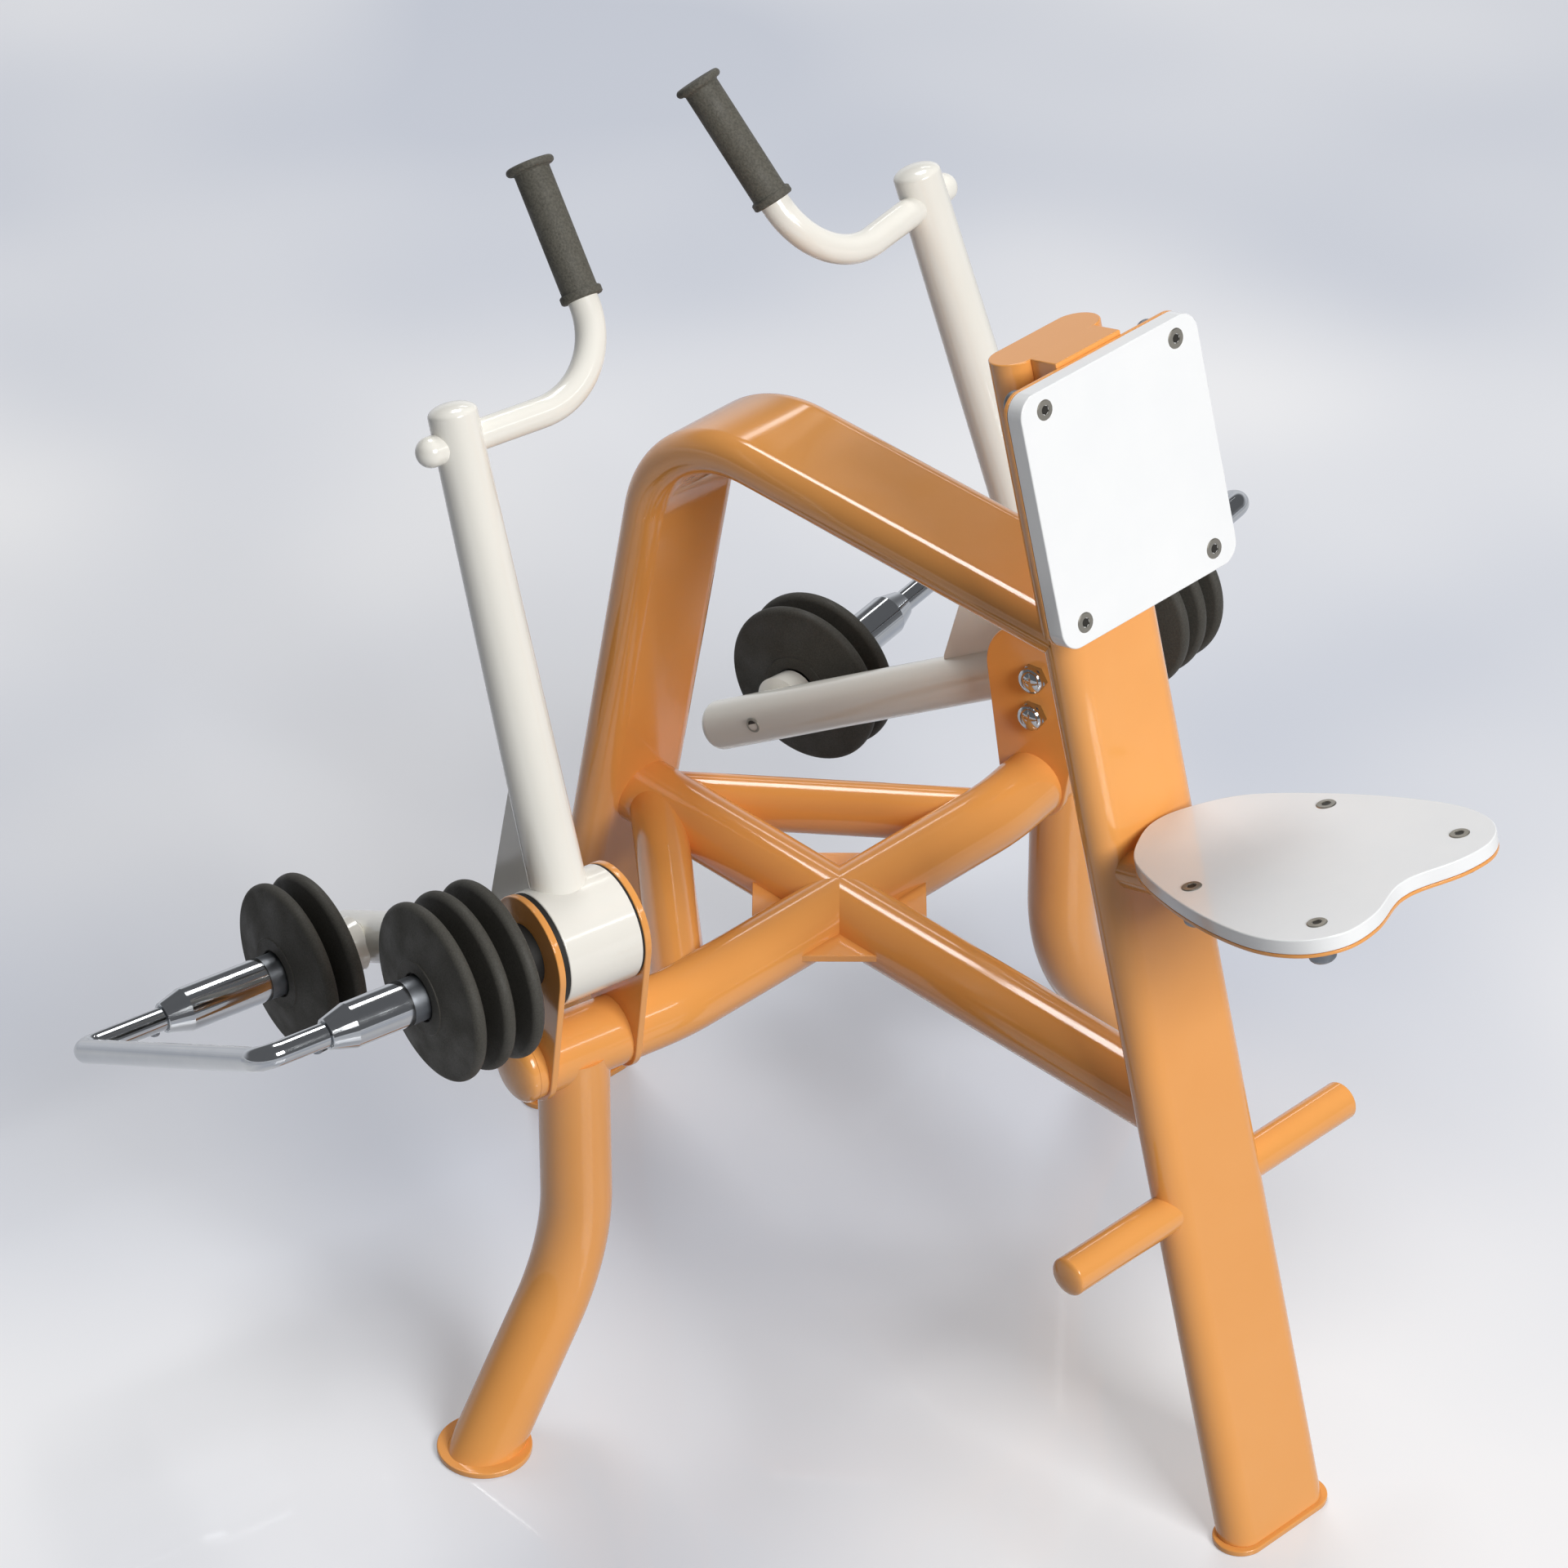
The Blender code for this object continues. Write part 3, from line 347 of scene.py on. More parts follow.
def patterned_finish(name, colours, tint, smear, grain, roughness, relief, settings):
    """A finish whose colour, roughness and relief each follow a noise pattern on the piece.

    Colours and roughness are given as two ends, and relief as its strength and its depth.
    """
    material, tree, shader = new_material(name)
    place = add_node(tree, "ShaderNodeTexCoord").outputs["Object"]
    tint, smear, grain = (
        add_node(tree, "ShaderNodeTexNoise", pattern, {"Vector": place}).outputs["Fac"]
        for pattern in (tint, smear, grain)
    )
    colour = add_node(tree, "ShaderNodeMix", {"data_type": "RGBA", mix_first: linear(colours[0]),
                                              mix_second: linear(colours[1])},
                      {"Factor": tint})
    rough = add_node(tree, "ShaderNodeMapRange", {"From Min": noise_low, "From Max": noise_high,
                                                  "To Min": roughness[0],
                                                  "To Max": roughness[1]},
                     {"Value": smear})
    bump = add_node(tree, "ShaderNodeBump", {"Strength": relief[0], "Distance": relief[1]},
                    {"Height": grain})
    tree.links.new(colour.outputs[mix_result], shader.inputs["Base Color"])
    tree.links.new(rough.outputs["Result"], shader.inputs["Roughness"])
    tree.links.new(bump.outputs["Normal"], shader.inputs["Normal"])
    set_shader(shader, settings)
    return material


def powder_coat(name, light, deep, roughness):
    """Polyester powder coat, sprayed and baked: a glossy skin with a faint orange-peel ripple."""
    # The film's thickness drifts over about 90 mm, which shifts its colour a little
    film = {"Scale": per_metre(90)}
    # Rain and hands leave faint dull smears about 45 mm across
    smear = {"Scale": per_metre(45), "Detail": 3.0}
    # Real orange peel is about 1 to 2 mm across and is drawn coarser, at 3.5 mm, so that it shows
    peel = {"Scale": per_metre(3.5), "Detail": 1.0}
    return patterned_finish(name, (light, deep), film, smear, peel,
                            (roughness * 0.85, roughness * 1.25), (0.06, 0.0004),
                            {"IOR": 1.5, "Coat Weight": 0.2, "Coat Roughness": 0.05})


def polyethylene_board(name, light, deep):
    """High-density polyethylene sheet, pressed and routed: white and sleek, with a fine grain."""
    # The sheet's white drifts over about 60 mm
    cloud = {"Scale": per_metre(60)}
    # The press plate's grain is about 0.3 mm and is drawn at 1.6 mm so that it shows
    press = {"Scale": per_metre(1.6)}
    return patterned_finish(name, (light, deep), cloud, press, press, (0.10, 0.18), (0.03, 0.0002),
                            {"IOR": 1.54, "Coat Weight": 0.3, "Coat Roughness": 0.06})


def moulded_black(name, tops, hollows, grain_mm, depth):
    """Black rubber or nylon from a blasted mould: matt, with a pebbled skin in two shades."""
    # The mould's pebbles are about 0.5 mm and are drawn coarser so that they show
    pebble = {"Scale": per_metre(grain_mm), "Detail": 3.0, "Roughness": 0.6}
    # Bloom comes to the surface in dull soft patches about 35 mm across
    bloom = {"Scale": per_metre(35), "Detail": 3.0}
    # The pebble also sets the colour, from the hollows' colour to the tops'; hollows given darker
    # than the tops are painted shade
    return patterned_finish(name, (hollows, tops), pebble, bloom, pebble, (0.55, 0.80),
                            (0.6, depth), {"IOR": 1.52, "Specular IOR Level": 0.35})


def turned_metal(name, light, deep, roughness, line_mm, depth):
    """Turned steel, plated or blackened: fine turning marks and faint smears in its gloss."""
    # Finger and cloth smears are about 22 mm across
    smear = {"Scale": per_metre(22), "Detail": 4.0}
    # Turning marks are about 0.1 mm apart and are drawn coarser so that they show
    marks = {"Scale": per_metre(line_mm)}
    return patterned_finish(name, (light, deep), smear, smear, marks,
                            (roughness * 0.7, roughness * 1.4), (0.1, depth), {"Metallic": 1.0})


# Orange powder coat of the frame: a warm, even colour with bright, slightly soft reflections
orange_coat = powder_coat("orange_powder_coat", "F0A75A", "EBA052", 0.13)
# White powder coat of the levers: a creamy white with the same gloss
white_coat = powder_coat("white_powder_coat", "F3F0E7", "EEEBE1", 0.13)
# Polyethylene of the pad and the seat: a colder and brighter white
board_white = polyethylene_board("white_polyethylene_board", "F5F5F4", "EFF0F0")
# Rubber moulded over the discs' cores: a matt, warm grey-black with a fine pebble, whose hollows
# are painted darker as painted shade
disc_rubber = moulded_black("disc_rubber", "56544D", "2C2A26", 1.8, 0.0004)
# Softer rubber of the hand grips: paler tops with a coarse pebble for the hands, and hollows
# painted much darker as painted shade
grip_rubber = moulded_black("grip_rubber", "757267", "24221E", 2.4, 0.0009)
# Nylon of the washers and the collars, moulded black: dark and nearly smooth
nylon = moulded_black("washer_nylon", "201F1D", "262523", 1.0, 0.0001)
# Chrome plate on turned and polished steel: a bright mirror
chrome = turned_metal("chrome_plate", "BFC1C3", "B2B5B8", 0.08, 0.8, 0.00003)
# Turned steel left unpolished, on the bands, the pins and the boards' nuts: a grey blur
satin_steel = turned_metal("satin_steel", "86898D", "7A7E83", 0.40, 0.6, 0.0001)
# Blackened steel of the screws' heads: a warm dull grey
screw_steel = turned_metal("blackened_screw_steel", "A29E94", "8E8A81", 0.50, 0.6, 0.0001)
# The same steel down in the screws' sockets, painted nearly black: painted shade down in the
# shallow socket
socket_shade_paint = turned_metal("socket_painted_shade", "4E4B46", "3F3D39", 0.50, 0.6, 0.0001)


def leaning(angle):
    """A turn that leans the local Z axis forwards by an angle."""
    return Matrix.Rotation(-angle, 4, "X")


def outwards(side):
    """A turn that lays the local Z axis along the axle, away from the machine's middle."""
    return Matrix.Rotation(side * right_angle, 4, "Y")


def shift(x=0, y=0, z=0):
    """A move along the local axes."""
    return Matrix.Translation((x, y, z))


def arc(centre, radius, start, end, steps):
    """Points along an arc, both ends included."""
    points = []
    for index in range(steps + 1):
        turn = start + (end - start) * index / steps
        points.append((centre[0] + radius * math.cos(turn), centre[1] + radius * math.sin(turn)))
    return points


def smooth_outline(points, steps):
    """A smooth closed line through points, as Catmull-Rom runs."""
    count = len(points)
    line = []
    for index in range(count):
        before, start, end, after = (Vector(points[(index + hop) % count]) for hop in (-1, 0, 1, 2))
        for step in range(steps):
            share = step / steps
            bend = 2 * before - 5 * start + 4 * end - after
            twist = 3 * start - before - 3 * end + after
            spot = start + ((end - before) * share + bend * share ** 2 + twist * share ** 3) / 2
            line.append((spot.x, spot.y))
    return line


def edges_in(geometry):
    """The edges of an operator's result."""
    return [item for item in geometry if isinstance(item, bmesh.types.BMEdge)]


def verts_in(geometry):
    """The corners of an operator's result."""
    return [item for item in geometry if isinstance(item, bmesh.types.BMVert)]


def verts_of(ring):
    """The corners along a ring of edges."""
    return list({vert for edge in ring for vert in edge.verts})


def edges_at(verts):
    """The edges that meet at some corners."""
    return list({edge for vert in verts for edge in vert.link_edges})


def up_from(place, length=1):
    """A vector of a length along the local Z axis of a place."""
    return place.to_3x3() @ Vector((0, 0, length))


def round_ring(shape, place, radius, sides=tube_sides):
    """A ring of edges across the local Z axis of a place."""
    made = bmesh.ops.create_circle(shape, cap_ends=False, radius=radius, segments=sides,
                                   matrix=place)
    return edges_at(made["verts"])


def oval_ring(shape, place, width, depth):
    """A flat oval ring: a circle with its halves moved apart along the local X axis."""
    half_turn = Matrix.Rotation(math.pi / tube_sides, 4, "Z")
    made = bmesh.ops.create_circle(shape, cap_ends=False, radius=depth / 2, segments=tube_sides,
                                   matrix=half_turn)
    for vert in made["verts"]:
        vert.co.x += math.copysign((width - depth) / 2, vert.co.x)
    bmesh.ops.transform(shape, matrix=place, verts=made["verts"])
    return edges_at(made["verts"])


def outline_ring(shape, place, points):
    """A closed ring of edges through flat points."""
    verts = [shape.verts.new(place @ Vector((x, y, 0))) for x, y in points]
    return [shape.edges.new(pair) for pair in zip(verts, verts[1:] + verts[:1])]


def push(shape, ring, move):
    """Extrude a ring of edges along a vector."""
    made = bmesh.ops.extrude_edge_only(shape, edges=ring)
    bmesh.ops.translate(shape, verts=verts_in(made["geom"]), vec=move)
    return edges_in(made["geom"])


def swing(shape, ring, centre, axis, turn):
    """Extrude a ring of edges round a bend."""
    steps = max(2, round(turn / bend_step))
    made = bmesh.ops.spin(shape, geom=ring + verts_of(ring), cent=centre, axis=axis, angle=turn,
                          steps=steps, use_merge=False, use_duplicate=False)
    return edges_in(made["geom_last"])


def sweep(shape, ring, corners, radii):
    """Extrude a ring along straight runs joined by round bends at the inner corners."""
    corners = [Vector(corner) for corner in corners]
    spot = corners[0]
    for before, corner, after, radius in zip(corners, corners[1:], corners[2:], radii):
        incoming = (corner - before).normalized()
        outgoing = (after - corner).normalized()
        turn = incoming.angle(outgoing)
        axis = incoming.cross(outgoing).normalized()
        tangent = radius * math.tan(turn / 2)
        start = corner - incoming * tangent
        ring = push(shape, ring, start - spot)
        ring = swing(shape, ring, start + axis.cross(incoming) * radius, axis, turn)
        spot = corner + outgoing * tangent
    return push(shape, ring, corners[-1] - spot)


def dome(shape, ring, direction, rise):
    """Close a round ring with a dome of a given rise."""
    direction = direction.normalized()
    verts = verts_of(ring)
    centre = sum((vert.co for vert in verts), Vector()) / len(verts)
    for step in range(1, dome_steps):
        before = right_angle * (step - 1) / dome_steps
        turn = right_angle * step / dome_steps
        ring = push(shape, ring, direction * rise * (math.sin(turn) - math.sin(before)))
        here = centre + direction * rise * math.sin(turn)
        share = math.cos(turn) / math.cos(before)
        bmesh.ops.scale(shape, vec=(share, share, share), space=Matrix.Translation(-here),
                        verts=verts_of(ring))
    ring = push(shape, ring, Vector())
    bmesh.ops.pointmerge(shape, verts=verts_of(ring), merge_co=centre + direction * rise)


def close(shape, ring):
    """Close a ring with a flat face."""
    bmesh.ops.edgeloop_fill(shape, edges=ring)


def prism(shape, ring, move):
    """Close a ring, extrude it along a vector and close its far end."""
    close(shape, ring)
    close(shape, push(shape, ring, move))


def turned(shape, profile, place, sides=tube_sides):
    """Spin a profile of radius and height about the local Z axis of a place."""
    verts = [shape.verts.new(place @ Vector((radius, 0, height))) for radius, height in profile]
    edges = [shape.edges.new(pair) for pair in zip(verts, verts[1:])]
    bmesh.ops.spin(shape, geom=verts + edges, cent=place.translation, axis=up_from(place),
                   angle=2 * math.pi, steps=sides, use_merge=True, use_duplicate=False)


def slab(shape, place, points, thickness):
    """A flat plate through flat points, centred on the place's XY plane."""
    ring = outline_ring(shape, place @ shift(z=-thickness / 2), points)
    prism(shape, ring, up_from(place, thickness))


def tidy(shape):
    """Merge doubled corners and face every side outwards."""
    bmesh.ops.remove_doubles(shape, verts=shape.verts, dist=merge_distance)
    bmesh.ops.dissolve_degenerate(shape, edges=shape.edges, dist=merge_distance)
    bmesh.ops.recalc_face_normals(shape, faces=shape.faces)


def soften(shape, width, segments=edge_segments, seam=None):
    """Round the sharp edges of a closed shape, but not the edge through the middle of a seam."""
    tidy(shape)
    edges = [edge for edge in shape.edges
             if edge.is_manifold and edge.calc_face_angle() > eased_angle]
    if seam:
        edges.remove(min(edges, key=lambda edge: sum((vert.co - seam).length
                                                     for vert in edge.verts)))
    bmesh.ops.bevel(shape, geom=edges, offset=width, offset_type="OFFSET", segments=segments,
                    profile=0.5, affect="EDGES", clamp_overlap=True, material=-1)


def trim(shape, point, direction):
    """Cut away what lies beyond a plane and close the cut."""
    geometry = shape.verts[:] + shape.edges[:] + shape.faces[:]
    made = bmesh.ops.bisect_plane(shape, geom=geometry, dist=merge_distance, plane_co=point,
                                  plane_no=direction, clear_outer=True)
    close(shape, edges_in(made["geom_cut"]))


def make_piece(name, shape, finish, body, slot, *nodes, crisp=crisp_angle):
    """Turn a shape into a piece that rides on a body and stands for CAD nodes."""
    tidy(shape)
    mesh = bpy.data.meshes.new(name)
    shape.to_mesh(mesh)
    shape.free()
    mesh.shade_smooth()
    mesh.set_sharp_from_angle(angle=crisp)
    mesh.materials.append(finish)
    piece = bpy.data.objects.new(name, mesh)
    machine.objects.link(piece)
    shading = piece.modifiers.new("shading", "WEIGHTED_NORMAL")
    shading.keep_sharp = True
    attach(piece, body)
    if nodes:
        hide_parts(*nodes)


def make_frame_piece(name, shape, *nodes):
    """Turn a shape into an orange piece of the fixed frame."""
    make_piece(name, shape, orange_coat, "frame", "orange_paint", *nodes)


def make_lever_piece(name, shape, side_name, node):
    """Turn a shape into a white piece of one lever, for the CAD node on the same side."""
    make_piece(name + "_" + side_name, shape, white_coat, "lever_" + side_name, "white_paint",
               node + "_" + side_name)


machine = bpy.data.collections.new("machine")
bpy.context.scene.collection.children.link(machine)
sides = {"right": 1, "left": -1}
right_swing = next(joint for joint in frame["joints"] if joint["name"] == "lever_swing_right")
right_axis = Vector(right_swing["axis"])
right_pivot = Vector(right_swing["pos_m"])
toe_angle = math.atan2(right_axis.y, right_axis.x)
cross_tube_y = right_pivot.y - pivot_out * math.sin(toe_angle)
tube_drop = right_pivot.z - base_tube_height


def middle_of(node):
    """The middle of a CAD node's box."""
    low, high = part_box(node)
    return (low + high) / 2


post_foot_y = middle_of("post_foot_plate").y
arch_foot_y = middle_of("arch_foot_plate").y
plate_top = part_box("post_foot_plate")[1].z
post_axis = shift(y=post_foot_y) @ leaning(post_lean)
spacer_seam = post_axis @ Vector((0, -oval_depth / 2, post_length))


def post_y(height):
    """Where the post's axis lies at a height above the ground."""
    return post_foot_y + height * math.tan(post_lean)


def arch_y(height):
    """Where the arch leg's axis lies at a height above the ground."""
    return arch_foot_y - height * math.tan(arch_lean)


def toed_point(side, out):
    """A point on the cross tube's toed end, measured outwards from below the pivot."""
    reach = pivot_out + out
    x = cross_tube_straight + reach * math.cos(toe_angle)
    return Vector((side * x, cross_tube_y + reach * math.sin(toe_angle), base_tube_height))


def toed_place(side, height):
    """A place on the pivot's line, turned to the toed axle."""
    point = toed_point(side, 0)
    return shift(point.x, point.y, height) @ Matrix.Rotation(side * toe_angle, 4, "Z")


def make_post():
    """The leaning post: a flat oval tube with a welded flat top."""
    shape = bmesh.new()
    ring = oval_ring(shape, post_axis, oval_width, oval_depth)
    close(shape, push(shape, ring, up_from(post_axis, post_length)))
    trim(shape, (0, 0, plate_top), (0, 0, -1))
    soften(shape, oval_edge, seam=spacer_seam)
    make_frame_piece("post", shape, "main_post")


def make_foot_plate(node):
    """A flat oval foot plate with an eased rim."""
    low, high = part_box(node)
    size = high - low
    shape = bmesh.new()
    middle = middle_of(node)
    ring = oval_ring(shape, shift(middle.x, middle.y), size.x, size.y)
    prism(shape, ring, (0, 0, size.z))
    soften(shape, plate_edge)
    make_frame_piece(node + "_eased", shape, node)


def make_arch():
    """The arch: one flat oval tube bent over from its foot to the post."""
    corner = Vector((0, arch_y(arch_beam_height), arch_beam_height))
    foot = Vector((0, arch_y(0), 0))
    end = Vector((0, post_y(arch_beam_height), arch_beam_height))
    shape = bmesh.new()
    place = shift(y=foot.y) @ Matrix.Rotation(arch_lean, 4, "X")
    ring = oval_ring(shape, place, oval_width, oval_depth)
    ring = sweep(shape, ring, [foot, corner, end], [arch_bend_radius])
    close(shape, ring)
    trim(shape, (0, 0, plate_top), (0, 0, -1))
    make_frame_piece("arch", shape, "arch_tube")


def facing(start, end):
    """A place at a start point with its local Z axis towards an end point."""
    direction = Vector(end) - Vector(start)
    turn = Vector((0, 0, 1)).rotation_difference(direction)
    return Matrix.Translation(start) @ turn.to_matrix().to_4x4()


def make_tube(name, node, corners, radii, radius):
    """A round painted tube along a path, closed at both ends."""
    shape = bmesh.new()
    ring = round_ring(shape, facing(corners[0], corners[1]), radius)
    close(shape, ring)
    close(shape, sweep(shape, ring, corners, radii))
    make_frame_piece(name, shape, node)


def make_cross_tube():
    """The cross tube with toed ends, and its domed end caps."""
    corners = [
        toed_point(-1, cross_tube_end),
        Vector((-cross_tube_straight, cross_tube_y, base_tube_height)),
        Vector((cross_tube_straight, cross_tube_y, base_tube_height)),
        toed_point(1, cross_tube_end),
    ]
    radii = [cross_tube_bend_radius, cross_tube_bend_radius]
    make_tube("bent_cross_tube", "cross_tube", corners, radii, main_tube_radius)
    for side_name, side in sides.items():
        shape = bmesh.new()
        place = toed_place(side, base_tube_height) @ outwards(side) @ shift(z=cross_tube_end + fit)
        ring = round_ring(shape, place, main_tube_radius)
        close(shape, ring)
        ring = push(shape, ring, up_from(place, cross_cap_rim))
        dome(shape, ring, up_from(place), cross_cap_rise)
        make_frame_piece("domed_cap_" + side_name, shape, "cross_tube_cap_" + side_name)


def make_spines():
    """The spine's two lengths and the flat webs in the corners at the cross tube."""
    start = Vector((0, cross_tube_y, base_tube_height))
    ends = {"front": (1, arch_y(base_tube_height)), "rear": (-1, post_y(base_tube_height))}
    for name, (ahead, end_y) in ends.items():
        end = Vector((0, end_y, base_tube_height))
        make_tube("spine_tube_" + name, "spine_" + name, [start, end], [], main_tube_radius)
        for side_name, side in sides.items():
            shape = bmesh.new()
            near = main_tube_radius / 2
            points = [
                (side * near, ahead * near),
                (side * web_reach, ahead * near),
                (side * web_reach, ahead * main_tube_radius),
                (side * main_tube_radius, ahead * web_reach),
                (side * near, ahead * web_reach),
            ]
            slab(shape, shift(0, cross_tube_y, base_tube_height), points, web_thickness)
            soften(shape, plate_edge / 2)
            make_frame_piece("web_" + name + "_" + side_name, shape)


def make_braces():
    """Two braces from the front of the spine out to the cross tube."""
    for side_name, side in sides.items():
        start = Vector((side * brace_foot_x, cross_tube_y, base_tube_height))
        ahead = brace_foot_x * math.tan(brace_angle)
        end = Vector((0, cross_tube_y + ahead, base_tube_height))
        make_tube("brace_tube_" + side_name, "brace_" + side_name, [start, end], [], brace_radius)


def make_legs():
    """Two splayed legs with a knee bend, each on a thin round foot plate."""
    for side_name, side in sides.items():
        plate = "leg_foot_plate_" + side_name
        foot = middle_of(plate)
        foot.z = 0
        top = toed_point(side, leg_out) - Vector((0, leg_back, 0))
        knee = Vector((top.x, top.y, leg_knee_height))
        shape = bmesh.new()
        ring = round_ring(shape, facing(top, knee), main_tube_radius)
        close(shape, ring)
        past = foot + (foot - knee) * leg_overrun
        close(shape, sweep(shape, ring, [top, knee, past], [leg_bend_radius]))
        trim(shape, (0, 0, plate_top), (0, 0, -1))
        make_frame_piece("bent_leg_" + side_name, shape, "leg_" + side_name)
        low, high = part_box(plate)
        shape = bmesh.new()
        ring = round_ring(shape, shift(foot.x, foot.y), (high.x - low.x) / 2)
        prism(shape, ring, (0, 0, high.z))
        soften(shape, plate_edge)
        make_frame_piece("round_foot_" + side_name, shape, plate)


def make_foot_bar():
    """The round foot bar through the post, with domed ends."""
    place = post_axis @ shift(z=foot_bar_height) @ outwards(1)
    shape = bmesh.new()
    ring = round_ring(shape, place @ shift(z=-foot_bar_half_length), foot_bar_radius)
    far_ring = push(shape, ring, up_from(place, 2 * foot_bar_half_length))
    dome(shape, ring, -up_from(place), foot_bar_cap_rise)
    dome(shape, far_ring, up_from(place), foot_bar_cap_rise)
    make_frame_piece("foot_rest_bar", shape, "foot_bar")


def make_screw(name, place, grip):
    """A flush socket screw in a board, with a domed nut on the far side of all that it grips."""
    shape = bmesh.new()
    head = [
        (screw_socket_radius, 0),
        (screw_socket_radius, screw_stand),
        (screw_radius - screw_stand, screw_stand),
        (screw_radius, 0),
        (screw_radius, -screw_stand),
    ]
    turned(shape, head, place, small_sides)
    make_piece(name + "_head", shape, screw_steel, "frame", "board_plastic")
    # The hexagon at the socket's floor is nearly black: painted shade down in the socket
    shape = bmesh.new()
    socket = round_ring(shape, place @ shift(z=screw_floor), screw_socket_radius, hexagon_sides)
    close(shape, socket)
    make_piece(name + "_socket", shape, socket_shade_paint, "frame", "board_plastic")
    shape = bmesh.new()
    ring = round_ring(shape, place @ shift(z=-grip), screw_nut_radius, small_sides)
    close(shape, ring)
    ring = push(shape, ring, -up_from(place, screw_nut_straight))
    dome(shape, ring, -up_from(place), screw_nut_height - screw_nut_straight)
    make_piece(name + "_nut", shape, satin_steel, "frame", "board_plastic")


def eased_slab(place, points, thickness, edge):
    """A flat plate whose top is on the place's XY plane, with eased edges."""
    shape = bmesh.new()
    slab(shape, place @ shift(z=-thickness / 2), points, thickness)
    soften(shape, edge)
    return shape


def rounded_rectangle(left, right, low, high, radius):
    """A rectangle with round corners."""
    points = []
    for index, (x, y) in enumerate(((right, high), (left, high), (left, low), (right, low))):
        centre = (x - math.copysign(radius, x), y - math.copysign(radius, y))
        start = index * right_angle
        points += arc(centre, radius, start, start + right_angle, outline_steps)
    return points


def make_pad():
    """The chest pad: a spacer on the post's back, a steel plate, a board and its four screws."""
    outline = rounded_rectangle(-pad_half_width, pad_half_width, -pad_bottom, pad_top,
                                pad_corner_radius)
    upright = Matrix.Rotation(right_angle, 4, "X")
    face = post_axis @ shift(0, -pad_face_back, pad_height) @ upright
    shape = eased_slab(face, outline, pad_thickness, pad_edge)
    make_piece("pad_panel", shape, board_white, "frame", "board_plastic", "pad_board")
    plate_face = pad_thickness + fit
    shape = eased_slab(face @ shift(z=-plate_face), outline, support_plate_thickness,
                       plate_edge / 2)
    make_frame_piece("pad_steel_plate", shape, "pad_plate")
    front = pad_face_back - plate_face - support_plate_thickness
    half = pad_spacer_width / 2
    back = oval_depth / 2
    points = [(-half, -front), (half, -front), (half, -back), (-half, -back)]
    shape = bmesh.new()
    slab(shape, post_axis @ shift(z=post_length - pad_spacer_length / 2), points, pad_spacer_length)
    soften(shape, plate_edge, seam=spacer_seam)
    make_frame_piece("pad_spacer_block", shape, "pad_spacer")
    grip = plate_face + support_plate_thickness
    for side_name, side in sides.items():
        for level_name, level in (("upper", 1), ("lower", -1)):
            place = face @ shift(side * pad_screw_across, level * pad_screw_up)
            make_screw("pad_screw_" + level_name + "_" + side_name, place, grip)


def seat_outline():
    """The saddle outline: a round nose at the post, wide hips and a notch between two lobes."""
    half = [(share * seat_half_width, -seat_front_back - back * seat_length)
            for share, back in seat_outline_shares]
    nose = (0, -seat_front_back)
    notch = (0, -seat_front_back - seat_length * seat_notch_share)
    other = [(-x, y) for x, y in reversed(half)]
    return smooth_outline([nose] + half + [notch] + other, outline_steps)


def make_seat():
    """The seat: the saddle board, a thin plate, a flat oval bracket out of the post and screws."""
    outline = seat_outline()
    top = post_axis @ shift(z=seat_height)
    shape = eased_slab(top, outline, seat_thickness, seat_edge)
    make_piece("seat_panel", shape, board_white, "frame", "board_plastic", "seat_board")
    plate_face = seat_thickness + fit
    shape = eased_slab(top @ shift(z=-plate_face), outline, seat_plate_thickness, plate_edge / 2)
    make_frame_piece("seat_steel_plate", shape, "seat_plate")
    grip = plate_face + seat_plate_thickness
    depth = grip + seat_bracket_depth / 2 + fit
    place = top @ shift(z=-depth) @ Matrix.Rotation(right_angle, 4, "X")
    shape = bmesh.new()
    ring = oval_ring(shape, place, seat_bracket_width, seat_bracket_depth)
    prism(shape, ring, up_from(place, seat_bracket_length))
    soften(shape, oval_edge)
    make_frame_piece("seat_arm", shape, "seat_bracket")
    rows = (("front", 1, seat_front_screw_across), ("rear", -1, seat_rear_screw_across))
    for side_name, side in sides.items():
        for row_name, ahead, across in rows:
            place = top @ shift(side * across, -seat_screw_middle + ahead * seat_screw_spread)
            make_screw("seat_screw_" + row_name + "_" + side_name, place, grip)


def belt_points(top_radius, bottom_radius, drop):
    """Two circles, the lower one straight below, joined by their outer tangents."""
    lean = math.asin((top_radius - bottom_radius) / drop)
    top = arc((0, 0), top_radius, -lean, math.pi + lean, 4 * outline_steps)
    bottom = arc((0, -drop), bottom_radius, math.pi + lean, 2 * math.pi - lean, 3 * outline_steps)
    return top + bottom


# The turn that stands a flat outline up across the axle
across_axle = Matrix(((0, 0, 1, 0), (1, 0, 0, 0), (0, 1, 0, 0), (0, 0, 0, 1)))

# Faces along the axle, outwards from the pivot
outer_washer_in = hub_outer_end + fit
outer_bracket_in = outer_washer_in + outer_washer_thickness + fit
outer_bracket_out = outer_bracket_in + bracket_thickness
inner_washer_out = hub_inner_end - fit
inner_bracket_out = inner_washer_out - inner_washer_thickness - fit
inner_bracket_in = inner_bracket_out - bracket_thickness
disc_pitch = disc_hub_thickness + fit
rear_discs_end = rear_disc_seat + len(rear_disc_names) * disc_pitch
front_discs_end = front_disc_seat + len(front_disc_names) * disc_pitch


